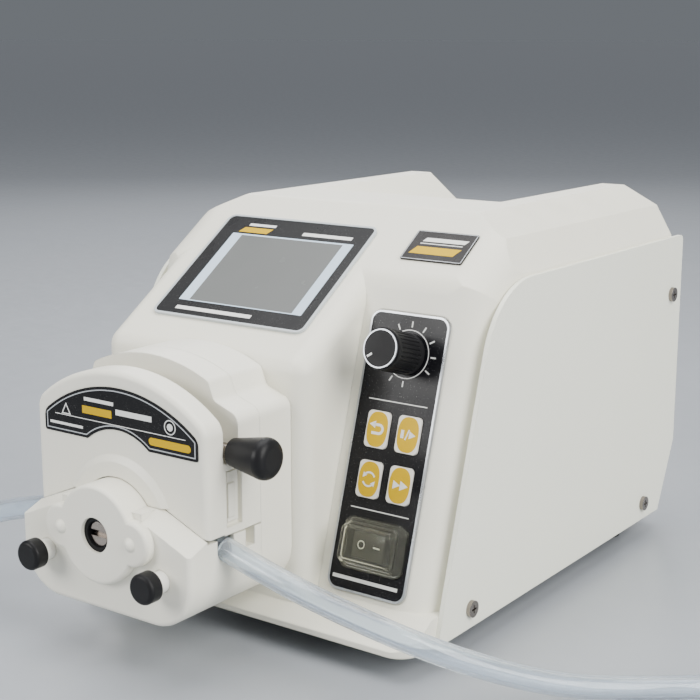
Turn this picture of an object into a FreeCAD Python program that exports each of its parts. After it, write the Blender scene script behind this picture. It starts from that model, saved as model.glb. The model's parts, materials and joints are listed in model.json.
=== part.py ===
# Bench-top peristaltic pump: drive casing, one-channel three-roller pump head and its silicone tubing.
# Millimetres. +Z is up, +Y points to the back of the casing, X is across it. The origin is on the bench,
# in the middle of the machine's footprint; the front bottom edge of the casing is at Y = front.
import FreeCAD, Part
import Sketcher
import math
import os

Vector = FreeCAD.Vector
Rotation = FreeCAD.Rotation
Placement = FreeCAD.Placement

SIZES = {
    # casing
    "front": -91.45, "halfWidth": 91.5, "under": 10.25, "crown": 177.0, "rear": 239.0, "wall": 2.5,
    "leanStart": 14.55, "leanRatio": 0.30, "slopeDepth": 69.9, "slopeLevel": 160.5, "slopeRatio": 1.5,
    "ridgeHalf": 64.7, "shoulderHalf": 83.0, "shoulderLevel": 167.9, "seamLevel": 153.5,
    "cornerRound": 18.0, "apexRound": 14.0, "crownRound": 6.0,
    "blockLeft": -79.0, "blockRight": 33.7, "blockFront": 9.0, "blockTop": 119.8, "blockRound": 8.0,
    "sillRise": 12.0, "sillRound": 10.0,
    "trayHalf": 52.5, "trayFront": 134.0, "trayFloor": 157.0, "trayWallRun": 25.0,
    "panelThick": 2.1, "panelFront": 19.2, "panelRear": 249.4, "panelKink": 44.7, "panelHeel": 233.0,
    "panelRound": 38.0, "baseThick": 1.5, "footRadius": 9.0, "footInset": 17.0,
    "rearPlateHalf": 82.0, "rearPlateLow": 16.0, "rearPlateHigh": 148.0, "rearPlateThick": 1.5,
    "boardRise": 48.0,
    # display and badge on the slope
    "displayMid": -20.3, "displayLevel": 148.75, "displayWide": 85.2, "displayTall": 68.8,
    "displayRound": 4.0, "bezelWide": 1.1, "bezelThick": 1.2, "windowThick": 0.9,
    "lcdWide": 69.2, "lcdTall": 50.0, "lcdThick": 4.2, "badgeMid": 57.6, "badgeLevel": 163.3,
    "badgeWide": 30.5, "badgeTall": 18.6, "badgeThick": 0.8,
    # control strip on the leaning face; heights are measured up the face from its foot
    "stripMid": 57.95, "stripHeight": 74.25, "stripWide": 38.9, "stripTall": 118.7, "stripRound": 5.0,
    "trimWide": 0.9, "trimThick": 1.1, "stripThick": 0.9,
    "knobAcross": 59.4, "knobHeight": 116.6, "knobRadius": 8.8, "knobLength": 20.5, "knobGap": 0.8,
    "spindleRadius": 3.0, "buttonWide": 11.1, "buttonTall": 15.6, "buttonThick": 2.4, "buttonProud": 0.9,
    "buttonLeft": 51.3, "buttonRight": 66.6, "buttonHigh": 83.7, "buttonLow": 62.6, "buttonTravel": 0.6,
    "switchAcross": 59.0, "switchHeight": 35.6, "switchWide": 22.0, "switchTall": 15.6, "bootWide": 31.2,
    "bootTall": 22.2,
    # pump head; levels are above the bench, depths are from the casing's front bottom edge
    "headMid": -19.2, "axisLevel": 57.3, "headHalf": 46.6, "headLow": 24.0, "headRound": 20.0,
    "housingFront": -54.5, "bossFront": -58.7, "blockFace": -43.8, "plateBack": -33.5, "gapBack": -24.5,
    "seamDepth": -11.0, "seamSide": 58.5, "archSide": 104.0, "archRadius": 71.0, "gapFloor": 88.6,
    "shoulderOut": 106.0, "shoulderIn": 110.5, "archFoot": 118.0, "archHalf": 31.4, "archBack": 72.0,
    "humpRadius": 20.5, "earRadius": 9.4, "earOffset": 19.2, "cavityRadius": 26.6,
    "cavityFront": -43.0, "cavityBack": -14.0, "bedRadius": 28.4,
    "shaftRadius": 5.0, "rollerPitch": 19.2, "rollerRadius": 6.0, "rollerLength": 17.0,
    "discRadius": 24.0, "discThick": 3.0, "pinRadius": 2.5, "rotorMid": -29.5, "bearingRadius": 9.5,
    "leverLevel": 93.0, "leverDepth": -29.0, "leverRod": 3.0, "leverReach": 68.0, "leverKnob": 20.0,
    "pushOffset": 31.7, "pushLevel": 43.9, "pushRadius": 6.3, "pushFront": -66.5, "pushThick": 6.2,
    "stemRadius": 5.0, "pushTravel": 3.5,
    # tubing
    "tubeRadius": 4.8, "tubeBore": 3.2, "tubeLevel": 54.0, "tubeDepth": -33.0,
}


class Size:
    """A number together with the sheet expression that gives it."""

    def __init__(self, value, text):
        self.value = value
        self.text = text

    def __add__(self, other):
        other = as_size(other)
        return Size(self.value + other.value, "(%s + %s)" % (self.text, other.text))

    def __sub__(self, other):
        other = as_size(other)
        return Size(self.value - other.value, "(%s - %s)" % (self.text, other.text))

    def __mul__(self, other):
        other = as_size(other)
        return Size(self.value * other.value, "(%s * %s)" % (self.text, other.text))

    def __truediv__(self, other):
        other = as_size(other)
        return Size(self.value / other.value, "(%s / %s)" % (self.text, other.text))

    def __neg__(self):
        return Size(-self.value, "(0 - %s)" % self.text)


def as_size(number):
    return number if isinstance(number, Size) else Size(float(number), "%g" % number)


class Sheet:
    """The document's spreadsheet: each driving dimension is an attribute."""

    def __init__(self, doc, sizes):
        self.cells = doc.addObject("Spreadsheet::Sheet", "Sizes")
        for row, (alias, value) in enumerate(sizes.items(), 1):
            self.cells.set("A%d" % row, alias)
            self.cells.set("B%d" % row, "%g" % value)
            self.cells.setAlias("B%d" % row, alias)
            setattr(self, alias, Size(value, "Sizes." + alias))


doc = FreeCAD.newDocument("PeristalticPump")
d = Sheet(doc, SIZES)
doc.recompute()

AXES = {
    "X": Rotation(Vector(0, 1, 0), 90),
    "Y": Rotation(Vector(1, 0, 0), -90),
    "Z": Rotation(),
}
nodes = []


# ---------------------------------------------------------------- building blocks
def bind(thing, name, number):
    """Set a property and tie it to the sheet."""
    number = as_size(number)
    thing.setExpression(name, number.text)


def seat(thing, x, y, z, rotation=None):
    thing.Placement = Placement(Vector(), rotation or Rotation())
    for letter, number in zip("xyz", (x, y, z)):
        bind(thing, "Placement.Base." + letter, number)
    return thing


def box(x, y, z, length, width, height):
    """A box from its low corner."""
    thing = doc.addObject("Part::Box", "Box")
    for name, number in (("Length", length), ("Width", width), ("Height", height)):
        bind(thing, name, number)
    return seat(thing, x, y, z)


def turned_box(length, width, height, placement):
    """A box at any angle; its placement is worked out by the caller."""
    thing = doc.addObject("Part::Box", "TurnedBox")
    for name, number in (("Length", length), ("Width", width), ("Height", height)):
        bind(thing, name, number)
    thing.Placement = placement
    return thing


def rod(axis, x, y, z, radius, height):
    """A cylinder from the middle of its low end, along X, Y or Z."""
    thing = doc.addObject("Part::Cylinder", "Rod")
    bind(thing, "Radius", radius)
    bind(thing, "Height", height)
    return seat(thing, x, y, z, AXES[axis])


def cone(axis, x, y, z, radius, end_radius, height):
    thing = doc.addObject("Part::Cone", "Cone")
    for name, number in (("Radius1", radius), ("Radius2", end_radius), ("Height", height)):
        bind(thing, name, number)
    return seat(thing, x, y, z, AXES[axis])


def ball(x, y, z, radius):
    thing = doc.addObject("Part::Sphere", "Ball")
    bind(thing, "Radius", radius)
    return seat(thing, x, y, z)


def fuse(*things):
    joined = doc.addObject("Part::MultiFuse", "Fuse")
    joined.Shapes = list(things)
    joined.Refine = True
    return joined


def cut(base, *tools):
    remaining = doc.addObject("Part::Cut", "Cut")
    remaining.Base = base
    remaining.Tool = tools[0] if len(tools) == 1 else fuse(*tools)
    return remaining


def common(first, second):
    shared = doc.addObject("Part::Common", "Common")
    shared.Base = first
    shared.Tool = second
    return shared


def rounded(thing, radius, wanted):
    """Round the edges whose two ends pass wanted(start, end)."""
    doc.recompute()
    edges = []
    for number, edge in enumerate(thing.Shape.Edges, 1):
        if len(edge.Vertexes) == 2 and wanted(edge.Vertexes[0].Point, edge.Vertexes[1].Point):
            edges.append((number, radius.value, radius.value))
    smooth = doc.addObject("Part::Fillet", "Round")
    smooth.Base = thing
    smooth.Edges = edges
    return smooth


def soft_rim(thing, axis, place, radius):
    """Round the circular edge that lies in the plane X = place or Y = place."""
    doc.recompute()
    edges = []
    for number, edge in enumerate(thing.Shape.Edges, 1):
        bounds = edge.BoundBox
        ends = (bounds.XMin, bounds.XMax) if axis == "X" else (bounds.YMin, bounds.YMax)
        if max(abs(end - place.value) for end in ends) < 1e-3:
            edges.append((number, radius, radius))
    smooth = doc.addObject("Part::Fillet", "Round")
    smooth.Base = thing
    smooth.Edges = edges
    return smooth


def upright(start, end):
    """An edge along Z."""
    return abs(start.x - end.x) < 1e-6 and abs(start.y - end.y) < 1e-6


def fixed_shape(name, shape, placement=None):
    """A piece whose form is worked out with Part's own functions."""
    thing = doc.addObject("Part::Feature", name)
    thing.Shape = shape
    if placement:
        thing.Placement = placement
    return thing


def group(*things):
    """Separate solids that share one node."""
    together = doc.addObject("Part::Compound", "Group")
    together.Links = list(things)
    return together


def node(label, thing):
    thing.Label = label
    nodes.append(thing)
    return thing


PLANES = {"XY": "XY_Plane", "XZ": "XZ_Plane", "YZ": "YZ_Plane"}


def arc_middle(start, end, radius):
    """The middle point of the arc from start to end; a positive radius bulges to the right of the way."""
    chord = end - start
    half = chord.Length / 2
    height = abs(radius) - math.sqrt(radius * radius - half * half)
    side = Vector(chord.y, -chord.x, 0).normalize()
    return (start + end) * 0.5 + side * math.copysign(height, radius)


def prism(plane, outline, start, depth, rounds=(), shift=(0, 0)):
    """A padded sketch. outline holds (across, up) or (across, up, radius of the arc that ends there)."""
    body = doc.addObject("PartDesign::Body", "Body")
    sketch = body.newObject("Sketcher::SketchObject", "Outline")
    origin_plane = [f for f in body.Origin.OriginFeatures if f.Role == PLANES[plane]][0]
    sketch.AttachmentSupport = (origin_plane, [""])
    sketch.MapMode = "FlatFace"
    points = [(as_size(p[0]), as_size(p[1])) for p in outline]
    places = [Vector(p[0].value, p[1].value, 0) for p in points]
    firsts = []
    lasts = []
    for number, corner in enumerate(outline):
        last = (number - 1) % len(outline)
        if len(corner) == 3:
            radius = as_size(corner[2])
            middle = arc_middle(places[last], places[number], radius.value)
            sketch.addGeometry(Part.Arc(places[last], middle, places[number]), False)
            backwards = radius.value < 0
            sketch.addConstraint(Sketcher.Constraint("Radius", number, abs(radius.value)))
            sketch.setExpression("Constraints[%d]" % (sketch.ConstraintCount - 1), "abs(%s)" % radius.text)
        else:
            sketch.addGeometry(Part.LineSegment(places[last], places[number]), False)
            backwards = False
        firsts.append(2 if backwards else 1)
        lasts.append(1 if backwards else 2)
    for number in range(len(outline)):
        after = (number + 1) % len(outline)
        sketch.addConstraint(Sketcher.Constraint("Coincident", number, lasts[number], after, firsts[after]))
        for kind, position in (("DistanceX", points[number][0]), ("DistanceY", points[number][1])):
            sketch.addConstraint(Sketcher.Constraint(kind, -1, 1, number, lasts[number], position.value))
            sketch.setExpression("Constraints[%d]" % (sketch.ConstraintCount - 1), position.text)
    pad = body.newObject("PartDesign::Pad", "Pad")
    pad.Profile = sketch
    bind(pad, "Length", depth)
    pad.Reversed = plane == "XZ"
    doc.recompute()
    for corners, radius in rounds:
        names = []
        for number, edge in enumerate(body.Tip.Shape.Edges, 1):
            start_point = edge.Vertexes[0].Point
            end_point = edge.Vertexes[-1].Point
            along = {"XY": Vector(0, 0, 1), "XZ": Vector(0, 1, 0), "YZ": Vector(1, 0, 0)}[plane]
            way = end_point - start_point
            if way.Length < 1e-6 or abs(abs(way.dot(along)) - way.Length) > 1e-6:
                continue
            flat = {"XY": (start_point.x, start_point.y), "XZ": (start_point.x, start_point.z),
                    "YZ": (start_point.y, start_point.z)}[plane]
            if any(abs(flat[0] - places[c].x) + abs(flat[1] - places[c].y) < 1e-4 for c in corners):
                names.append("Edge%d" % number)
        before = body.Tip
        fillet = body.newObject("PartDesign::Fillet", "Fillet")
        fillet.Base = (before, names)
        bind(fillet, "Radius", radius)
        body.Tip = fillet
        doc.recompute()
    offsets = {"XY": (shift[0], shift[1], start), "XZ": (shift[0], start, shift[1]),
               "YZ": (start, shift[0], shift[1])}[plane]
    return seat(body, *offsets)


class Face:
    """A flat face that sub-parts sit on: across is +X, up runs up the face and out leaves the casing."""

    def __init__(self, foot, tilt):
        self.placement = Placement(foot, Rotation(Vector(1, 0, 0), tilt))

    def place(self, thing, across, up, out, turn=None):
        spot = Vector(as_size(across).value, as_size(up).value, as_size(out).value)
        thing.Placement = self.placement * Placement(spot, turn or Rotation())
        return thing

    def plate(self, across, up, wide, tall, low, thick, corner=None):
        """A plate centred at (across, up) whose underside is at height low over the face."""
        thing = doc.addObject("Part::Box", "Plate")
        for name, number in (("Length", wide), ("Width", tall), ("Height", thick)):
            bind(thing, name, number)
        if corner:
            thing = rounded(thing, as_size(corner), upright)
        wide, tall = as_size(wide).value, as_size(tall).value
        return self.place(thing, as_size(across).value - wide / 2, as_size(up).value - tall / 2, low)

    def pin(self, across, up, low, radius, height):
        thing = doc.addObject("Part::Cylinder", "Pin")
        bind(thing, "Radius", radius)
        bind(thing, "Height", height)
        return self.place(thing, across, up, low)


def value(alias):
    return SIZES[alias]


LEAN_STRETCH = math.hypot(1, value("leanRatio"))
SLOPE_STRETCH = math.hypot(1, value("slopeRatio"))
lean_tilt = 90 - math.degrees(math.atan(value("leanRatio")))
slope_tilt = math.degrees(math.atan(1 / value("slopeRatio")))
leaning = Face(Vector(0, value("front") + value("leanStart"), value("under")), lean_tilt)
sloping = Face(Vector(0, value("front") + value("slopeDepth"), value("slopeLevel")), slope_tilt)


def up_slope(level):
    """Distance up the sloping face of a point at that level."""
    return (level.value - value("slopeLevel")) * SLOPE_STRETCH


def depth(number):
    """A depth from the front bottom edge of the casing, as a Y place."""
    return d.front + number


# ---------------------------------------------------------------- casing shell
def slab(points, direction, low, high):
    """A prism with a flat outline in the plane across the direction, which is X or Y."""
    if direction == "X":
        corners = [Vector(low, p[0], p[1]) for p in points]
        way = Vector(high - low, 0, 0)
    else:
        corners = [Vector(p[0], low, p[1]) for p in points]
        way = Vector(0, high - low, 0)
    return Part.Face(Part.makePolygon(corners + corners[:1])).extrude(way)


def edges_near(shape, wanted):
    return [edge for edge in shape.Edges if len(edge.Vertexes) == 2
            and wanted(edge.Vertexes[0].Point, edge.Vertexes[1].Point)]


def front_profile(inset, low):
    """Side view of the casing: leaning face, sloping face, crown and rear, moved inwards by inset."""
    lean = inset * LEAN_STRETCH
    slope = inset * SLOPE_STRETCH
    lean_zero = value("leanStart") - value("leanRatio") * value("under") + lean
    slope_zero = value("slopeDepth") - value("slopeRatio") * value("slopeLevel") + slope
    apex = (lean_zero - slope_zero) / (value("slopeRatio") - value("leanRatio"))
    crown = value("crown") - inset
    return [(lean_zero + value("leanRatio") * low, low), (lean_zero + value("leanRatio") * apex, apex),
            (slope_zero + value("slopeRatio") * crown, crown), (value("rear") - inset, crown),
            (value("rear") - inset, low)]


def main_form(inset, low):
    """The casing behind the screen block, with its bevelled shoulders and rounded front corners."""
    half = value("halfWidth") - inset
    points = front_profile(inset, low)
    form = slab(points, "X", -half, half)
    for corner, radius in ((1, value("apexRound") - inset), (2, value("crownRound") - inset / 2)):
        across = edges_near(form, lambda a, b: all(
            abs(p.y - points[corner][0]) + abs(p.z - points[corner][1]) < 1e-6 for p in (a, b)))
        form = form.makeFillet(radius, across)
    shoulders = [(half, low), (half, value("seamLevel") - 0.4 * inset),
                 (value("shoulderHalf") - 0.8 * inset, value("shoulderLevel") - 0.8 * inset),
                 (value("ridgeHalf") - 0.4 * inset, value("crown") - inset)]
    section = shoulders + [(-p[0], p[1]) for p in reversed(shoulders)]
    form = form.common(slab(section, "Y", -20, value("rear") + 20))
    radius = value("cornerRound") - inset
    column = Part.makeBox(2 * half, 400, 500, Vector(-half, 0, -120))
    column = column.makeFillet(radius, edges_near(column, lambda a, b: upright(a, b) and a.y < 1))
    column.Placement = Placement(Vector(0, value("leanStart") + inset * LEAN_STRETCH, value("under")),
                                 Rotation(Vector(1, 0, 0), lean_tilt - 90))
    roof = Part.makeBox(2 * half, 700, 400, Vector(-half, -200, -400))
    roof = roof.makeFillet(radius, edges_near(roof, lambda a, b: abs(a.z) + abs(b.z) < 1e-6
                                              and abs(a.x - b.x) < 1e-6))
    roof.Placement = Placement(Vector(0, value("slopeDepth") + inset * SLOPE_STRETCH, value("slopeLevel")),
                               Rotation(Vector(1, 0, 0), slope_tilt))
    return form.common(column).common(roof)


def screen_block(inset, low):
    """The block that carries the display and the pump head."""
    front = value("blockFront") + inset
    slope_zero = value("slopeDepth") - value("slopeRatio") * value("slopeLevel") + inset * SLOPE_STRETCH
    back = value("trayFront") - 50
    brow = (front - slope_zero) / value("slopeRatio")
    points = [(front, low), (front, brow), (back, (back - slope_zero) / value("slopeRatio")), (back, low)]
    block = slab(points, "X", value("blockLeft") + inset, value("blockRight") - inset)
    soft = edges_near(block, lambda a, b: max(a.y, b.y) < front + 1e-6 and max(a.z, b.z) > low + 1
                      or abs(a.x - b.x) < 1e-6 and min(a.z, b.z) > low + 1 and max(a.y, b.y) > back - 1
                      and min(a.y, b.y) < front + 1e-6)
    return block.makeFillet(value("blockRound") - inset, soft)


def sill(inset, low):
    """The skirt that flares forward round the foot of the front."""
    rise = value("under") + value("sillRise") - 0.3 * inset
    top = value("leanStart") + value("leanRatio") * value("sillRise") + inset
    points = [(inset, low), (inset, value("under") + 2.4 - 0.5 * inset), (top, rise), (60, rise), (60, low)]
    half = value("halfWidth") - inset
    plan = Part.makeBox(2 * half, 60, 40, Vector(-half, inset, low))
    plan = plan.makeFillet(value("sillRound") - inset, edges_near(
        plan, lambda a, b: upright(a, b) and a.y < inset + 1))
    return slab(points, "X", -half, half).common(plan)


def tray(inset):
    """The open-backed tray in the crown, grown by inset for the inside of the shell."""
    fall = (value("crown") - value("trayFloor")) / (value("rear") - value("trayFront"))
    drop = inset * math.hypot(1, fall)
    top = value("crown") + 1
    start = value("trayFront") - (1 + drop) / fall
    back = value("rear") + 5
    side = slab([(start, top), (back, top), (back, top - fall * (back - start))], "X", -90, 90)
    run = value("trayWallRun") / (value("crown") - value("trayFloor"))
    half = value("trayHalf") + run + inset * math.hypot(1, run)
    deep = value("crown") - value("trayFloor") + 6
    section = [(half, top), (-half, top), (run * deep - half, top - deep), (half - run * deep, top - deep)]
    return side.common(slab(section, "Y", start - 5, back + 5))


def casing_form(inset, low):
    form = main_form(inset, low).fuse(screen_block(inset, low)).fuse(sill(inset, low))
    return form.cut(tray(inset))


def front_shell():
    """The one-piece moulding: front, slope, crown, sides and rear frame, open underneath."""
    wall = value("wall")
    shell = casing_form(0, value("under")).cut(casing_form(wall, value("under") - 5))
    shell.translate(Vector(0, value("front"), 0))
    shell = shell.removeSplitter()
    body = fixed_shape("ShellBody", shell)
    half = d.rearPlateHalf - 4
    rear_window = box(-half, depth(d.rear - d.wall - 2), d.rearPlateLow + 4, half * 2, d.wall + 4,
                      d.rearPlateHigh - d.rearPlateLow - 8)
    seat_depth = 0.5
    through = d.wall * 2 + 4
    openings = [
        rear_window,
        sloping.plate(d.displayMid, up_slope(d.displayLevel), d.lcdWide - 6, d.lcdTall - 4, -8, 12),
        leaning.plate(d.stripMid, d.stripHeight, d.stripWide + 1, d.stripTall + 1, -seat_depth, 6,
                      d.stripRound + 0.5),
        leaning.pin(d.knobAcross, d.knobHeight, -8, 3.6, 12),
        leaning.plate(d.switchAcross, d.switchHeight, d.switchWide - 1.6, d.switchTall - 1.6, -8, 12),
        rod("Y", d.headMid, depth(d.blockFront - 2), d.axisLevel, 12, through),
    ]
    for across, up in button_places():
        openings.append(leaning.plate(across, up, d.buttonWide + 0.6, d.buttonTall + 0.6, -8, 12))
    for across, level in head_screw_places():
        openings.append(rod("Y", across, depth(d.blockFront - 2), level, 2.1, through))
    return node("front_shell", cut(body, *openings))


def button_places():
    return [(x, y) for y in (d.buttonHigh, d.buttonLow) for x in (d.buttonLeft, d.buttonRight)]


def head_screw_places():
    return [(d.headMid + x, d.axisLevel + z) for x in (-33, 33) for z in (-18, 36)]


def side_panel(label, outer, inner):
    """A flat side plate with the long soft corner over the control strip."""
    lean_top = d.panelFront + (d.seamLevel - d.under) * d.leanRatio
    outline = [(d.panelFront, d.under), (d.panelHeel, d.under), (d.panelRear, d.panelKink),
               (d.panelRear, d.seamLevel - 1), (lean_top, d.seamLevel - 1)]
    plate = prism("YZ", outline, inner if outer.value > 0 else outer, d.panelThick,
                  [((4,), d.panelRound), ((2, 3), as_size(3.0))], (d.front, as_size(0)))
    start = inner if outer.value > 0 else outer
    holes = [rod("X", start - 1, depth(y), z, 2.1, d.panelThick + 2) for y, z in side_screw_places()]
    return node(label, cut(plate, *holes))


def side_screw_places():
    return [(237.8, 123.3), (213.6, 19.0), (44.4, 19.0)]


def case_screws():
    """Pan-head screws: three to a side, each with a cross recess, and four on the rear plate."""
    screws = []
    outer = d.halfWidth + d.panelThick
    for side in (-1, 1):
        for y, z in side_screw_places():
            face = outer if side > 0 else -outer - 1.8
            head = rod("X", face, depth(y), z, 3.6, 1.8)
            slot_at = outer + 1.0 if side > 0 else -outer - 1.8
            slots = [box(slot_at, depth(y - wide / 2), z - tall / 2, 0.8, wide, tall)
                     for wide, tall in ((3.6, 0.8), (0.8, 3.6))]
            stem = rod("X", d.halfWidth if side > 0 else -outer, depth(y), z, 2.0, d.panelThick)
            screws.append(cut(fuse(head, stem), *slots))
    across = d.rearPlateHalf - 5
    screws += [rod("Y", x, depth(d.rear + d.rearPlateThick), z, 2.8, 1.4)
               for x in (-across, across) for z in (21.0, 143.0)]
    return node("case_screws", group(*screws))


def rear_panel():
    half = d.rearPlateHalf
    plate = box(-half, depth(d.rear), d.rearPlateLow, half * 2, d.rearPlateThick,
                d.rearPlateHigh - d.rearPlateLow)
    plate = rounded(plate, as_size(3.0), lambda a, b: abs(a.x - b.x) + abs(a.z - b.z) < 1e-6)
    y = depth(d.rear - 1)
    thick = d.rearPlateThick + 2
    holes = [rod("Y", FAN[0], y, FAN[1], 18.5, thick),
             box(INLET[0] - 13.6, y, INLET[1] - 10.1, 27.2, thick, 20.2),
             box(PORT[0] - 12.8, y, PORT[1] - 4.4, 25.6, thick, 8.8),
             rod("Y", FUSE[0], y, FUSE[1], 6.1, thick)]
    return node("rear_panel", cut(plate, *holes))


# places on the rear panel, across and level
FAN = (-40.0, 112.0)
INLET = (45.0, 42.0)
PORT = (-30.0, 42.0)
FUSE = (12.0, 42.0)


def base_plate():
    """Louvred bottom plate with the pressed-in standoffs of the main board."""
    half = d.halfWidth - d.wall - 0.3
    plate = box(-half, depth(22), d.under + 0.2, half * 2, d.rear - d.wall - 22.3, d.baseThick)
    vents = [box(-60 + 12 * n, depth(95), d.under - 1, 5, 60, 6) for n in range(11)]
    floor = d.under + 0.2 + d.baseThick
    posts = [rod("Z", x, depth(y), floor - 0.5, 3, d.boardRise + 0.5) for x, y in BOARD_POSTS]
    return node("base_plate", fuse(cut(plate, *vents), *posts))


BOARD_POSTS = ((46.0, 118.0), (46.0, 202.0), (-56.0, 118.0))


def feet():
    """Four rubber feet that the casing stands on."""
    pads = []
    for x in (-1, 1):
        for y in (38.0, 210.0):
            across = (d.halfWidth - d.footInset) * x
            pads.append(fuse(cone("Z", across, depth(y), 0, d.footRadius - 1, d.footRadius, 2),
                             rod("Z", across, depth(y), 2, d.footRadius, d.under - 1.8)))
    return node("feet", group(*pads))


# ---------------------------------------------------------------- display, badge and controls
def display():
    up = up_slope(d.displayLevel)
    ring = cut(sloping.plate(d.displayMid, up, d.displayWide, d.displayTall, 0, d.bezelThick,
                             d.displayRound),
               sloping.plate(d.displayMid, up, d.displayWide - d.bezelWide * 2,
                             d.displayTall - d.bezelWide * 2, -1, 4, d.displayRound - d.bezelWide))
    node("display_bezel", ring)
    node("display_window", sloping.plate(
        d.displayMid, up, d.displayWide - d.bezelWide * 2, d.displayTall - d.bezelWide * 2, 0,
        d.windowThick, d.displayRound - d.bezelWide))
    node("lcd_module", sloping.plate(d.displayMid, up, d.lcdWide, d.lcdTall,
                                     -d.wall - d.lcdThick, d.lcdThick))
    node("badge_plate", sloping.plate(d.badgeMid, up_slope(d.badgeLevel), d.badgeWide, d.badgeTall, 0,
                                      d.badgeThick, 0.8))


def control_strip():
    """The black fascia in its silver trim, in a shallow seat of the leaning face."""
    low = -0.5
    ring = cut(leaning.plate(d.stripMid, d.stripHeight, d.stripWide, d.stripTall, low,
                             d.trimThick + 0.5, d.stripRound),
               leaning.plate(d.stripMid, d.stripHeight, d.stripWide - d.trimWide * 2,
                             d.stripTall - d.trimWide * 2, -2, 6, d.stripRound - d.trimWide))
    node("control_trim", ring)
    fascia = leaning.plate(d.stripMid, d.stripHeight, d.stripWide - d.trimWide * 2,
                           d.stripTall - d.trimWide * 2, low, d.stripThick + 0.5,
                           d.stripRound - d.trimWide)
    holes = [leaning.plate(x, y, d.buttonWide + 0.4, d.buttonTall + 0.4, -2, 6, 2.2)
             for x, y in button_places()]
    holes.append(leaning.pin(d.knobAcross, d.knobHeight, -2, 3.6, 6))
    holes.append(leaning.plate(d.switchAcross, d.switchHeight, d.switchWide - 1.6, d.switchTall - 1.6,
                               -2, 6))
    node("control_fascia", cut(fascia, *holes))


def buttons():
    top = d.stripThick + d.buttonProud
    names = ("button_return", "button_start", "button_reverse", "button_prime")
    for name, (across, up) in zip(names, button_places()):
        cap = leaning.plate(across, up, d.buttonWide, d.buttonTall, top - d.buttonThick,
                            d.buttonThick, 2.0)
        stem = leaning.pin(across, up, top - d.buttonThick - 1.6, 1.6, 1.7)
        node(name, fuse(cap, stem))


def control_board():
    """Board behind the strip with four key switches and the speed potentiometer."""
    low = -8.2
    board = leaning.plate(d.stripMid, 88, 36, 76, low, 1.6)
    switches = [leaning.plate(x, y, 6, 6, low + 1.6, 3.3) for x, y in button_places()]
    x, y = d.knobAcross, d.knobHeight
    case = [leaning.pin(x, y, low - 5, 8, 9.2), leaning.pin(x, y, -4.2, 3.5, 5.4)]
    bore = leaning.pin(x, y, low - 3.3, d.spindleRadius + 0.1, 15)
    node("control_board", cut(fuse(board, *switches, *case), bore))


def speed_control():
    """Ribbed knob with its bright ring and pointer, on the spindle of the potentiometer."""
    low = d.stripThick + d.knobGap
    x, y = d.knobAcross, d.knobHeight
    ring_thick = 0.7
    barrel = leaning.pin(x, y, low, d.knobRadius, d.knobLength - 1.2)
    top = leaning.pin(x, y, low + d.knobLength - 1.2, d.knobRadius - 0.7, 1.2)
    bore = leaning.pin(x, y, low - 1, d.spindleRadius, 13)
    ring_seat = leaning.pin(x, y, low + d.knobLength - ring_thick, d.knobRadius, 2)
    ring_hub = leaning.pin(x, y, low + d.knobLength - ring_thick, d.knobRadius - 1.3, ring_thick)
    ribs = []
    for n in range(30):
        angle = math.radians(12 * n)
        reach = value("knobRadius")
        ribs.append(leaning.pin(x.value + reach * math.cos(angle), y.value + reach * math.sin(angle),
                                low.value + 3, 0.35, 14.5))
    hub = cut(fuse(barrel, top), ring_seat, bore, *ribs)
    slot_angle = 215.0
    middle = leaning.placement * Placement(Vector(x.value, y.value, 0), Rotation())
    spot = middle * Placement(Vector(), Rotation(Vector(0, 0, 1), slot_angle)) * Placement(
        Vector(4.2, -0.5, (low + d.knobLength - 0.35).value), Rotation())
    slot = turned_box(2.6, 1.0, 1, spot)
    node("speed_knob", cut(fuse(hub, ring_hub), slot))
    node("knob_ring", cut(leaning.pin(x, y, low + d.knobLength - ring_thick, d.knobRadius - 0.7,
                                      ring_thick + 0.1),
                          leaning.pin(x, y, low, d.knobRadius - 1.3, d.knobLength + 2)))
    node("knob_spindle", leaning.pin(x, y, -11.5, d.spindleRadius, low + 12 + 11.5))


def power_switch():
    """Rocker switch under a clear weatherproof boot; it is shown switched off."""
    x, y = d.switchAcross, d.switchHeight
    low = d.stripThick
    frame = fuse(leaning.plate(x, y, d.switchWide, d.switchTall, low, 1.8, 1.0),
                 leaning.plate(x, y, d.switchWide - 1.8, d.switchTall - 1.8, -16, low + 16.1))
    frame = cut(frame, leaning.plate(x, y, d.switchWide - 3.0, d.switchTall - 3.0, -3.5, 12))
    node("switch_body", frame)
    half_long = (d.switchWide.value - 5.2) / 2
    half_tall = (d.switchTall.value - 4.0) / 2
    outline = [(-half_long, -1.6), (half_long, -1.6), (half_long, 2.4), (0, 1.7), (-half_long, 2.4)]
    corners = [Vector(a, -half_tall, b) for a, b in outline]
    paddle = Part.Face(Part.makePolygon(corners + corners[:1])).extrude(Vector(0, 2 * half_tall, 0))
    pivot = Part.makeCylinder(1.5, 2 * half_tall + 0.8, Vector(0, -half_tall - 0.4, 0), Vector(0, 1, 0))
    rocker = fixed_shape("Rocker", paddle.fuse(pivot))
    leaning.place(rocker, x, y, low + 1.6, Rotation(Vector(0, 1, 0), -ROCKER_TILT))
    node("switch_rocker", rocker)
    flange = leaning.plate(x, y, d.bootWide, d.bootTall, low, 2.0, 4.0)
    dome = leaning.plate(x, y, d.bootWide - 4.2, d.bootTall - 2.6, low + 1.9, 7.2, 2.6)
    hollow = leaning.plate(x, y, d.bootWide - 6.4, d.bootTall - 4.6, low - 1, 9.0, 1.6)
    node("switch_boot", cut(fuse(flange, dome), hollow))


ROCKER_TILT = 7.0


# ---------------------------------------------------------------- pump head, fixed pieces
def head_bore(radius, low, high):
    """A cylinder on the rotor's axis between two depths."""
    low, high = as_size(low), as_size(high)
    return rod("Y", d.headMid, depth(low), d.axisLevel, radius, high - low)


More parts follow.
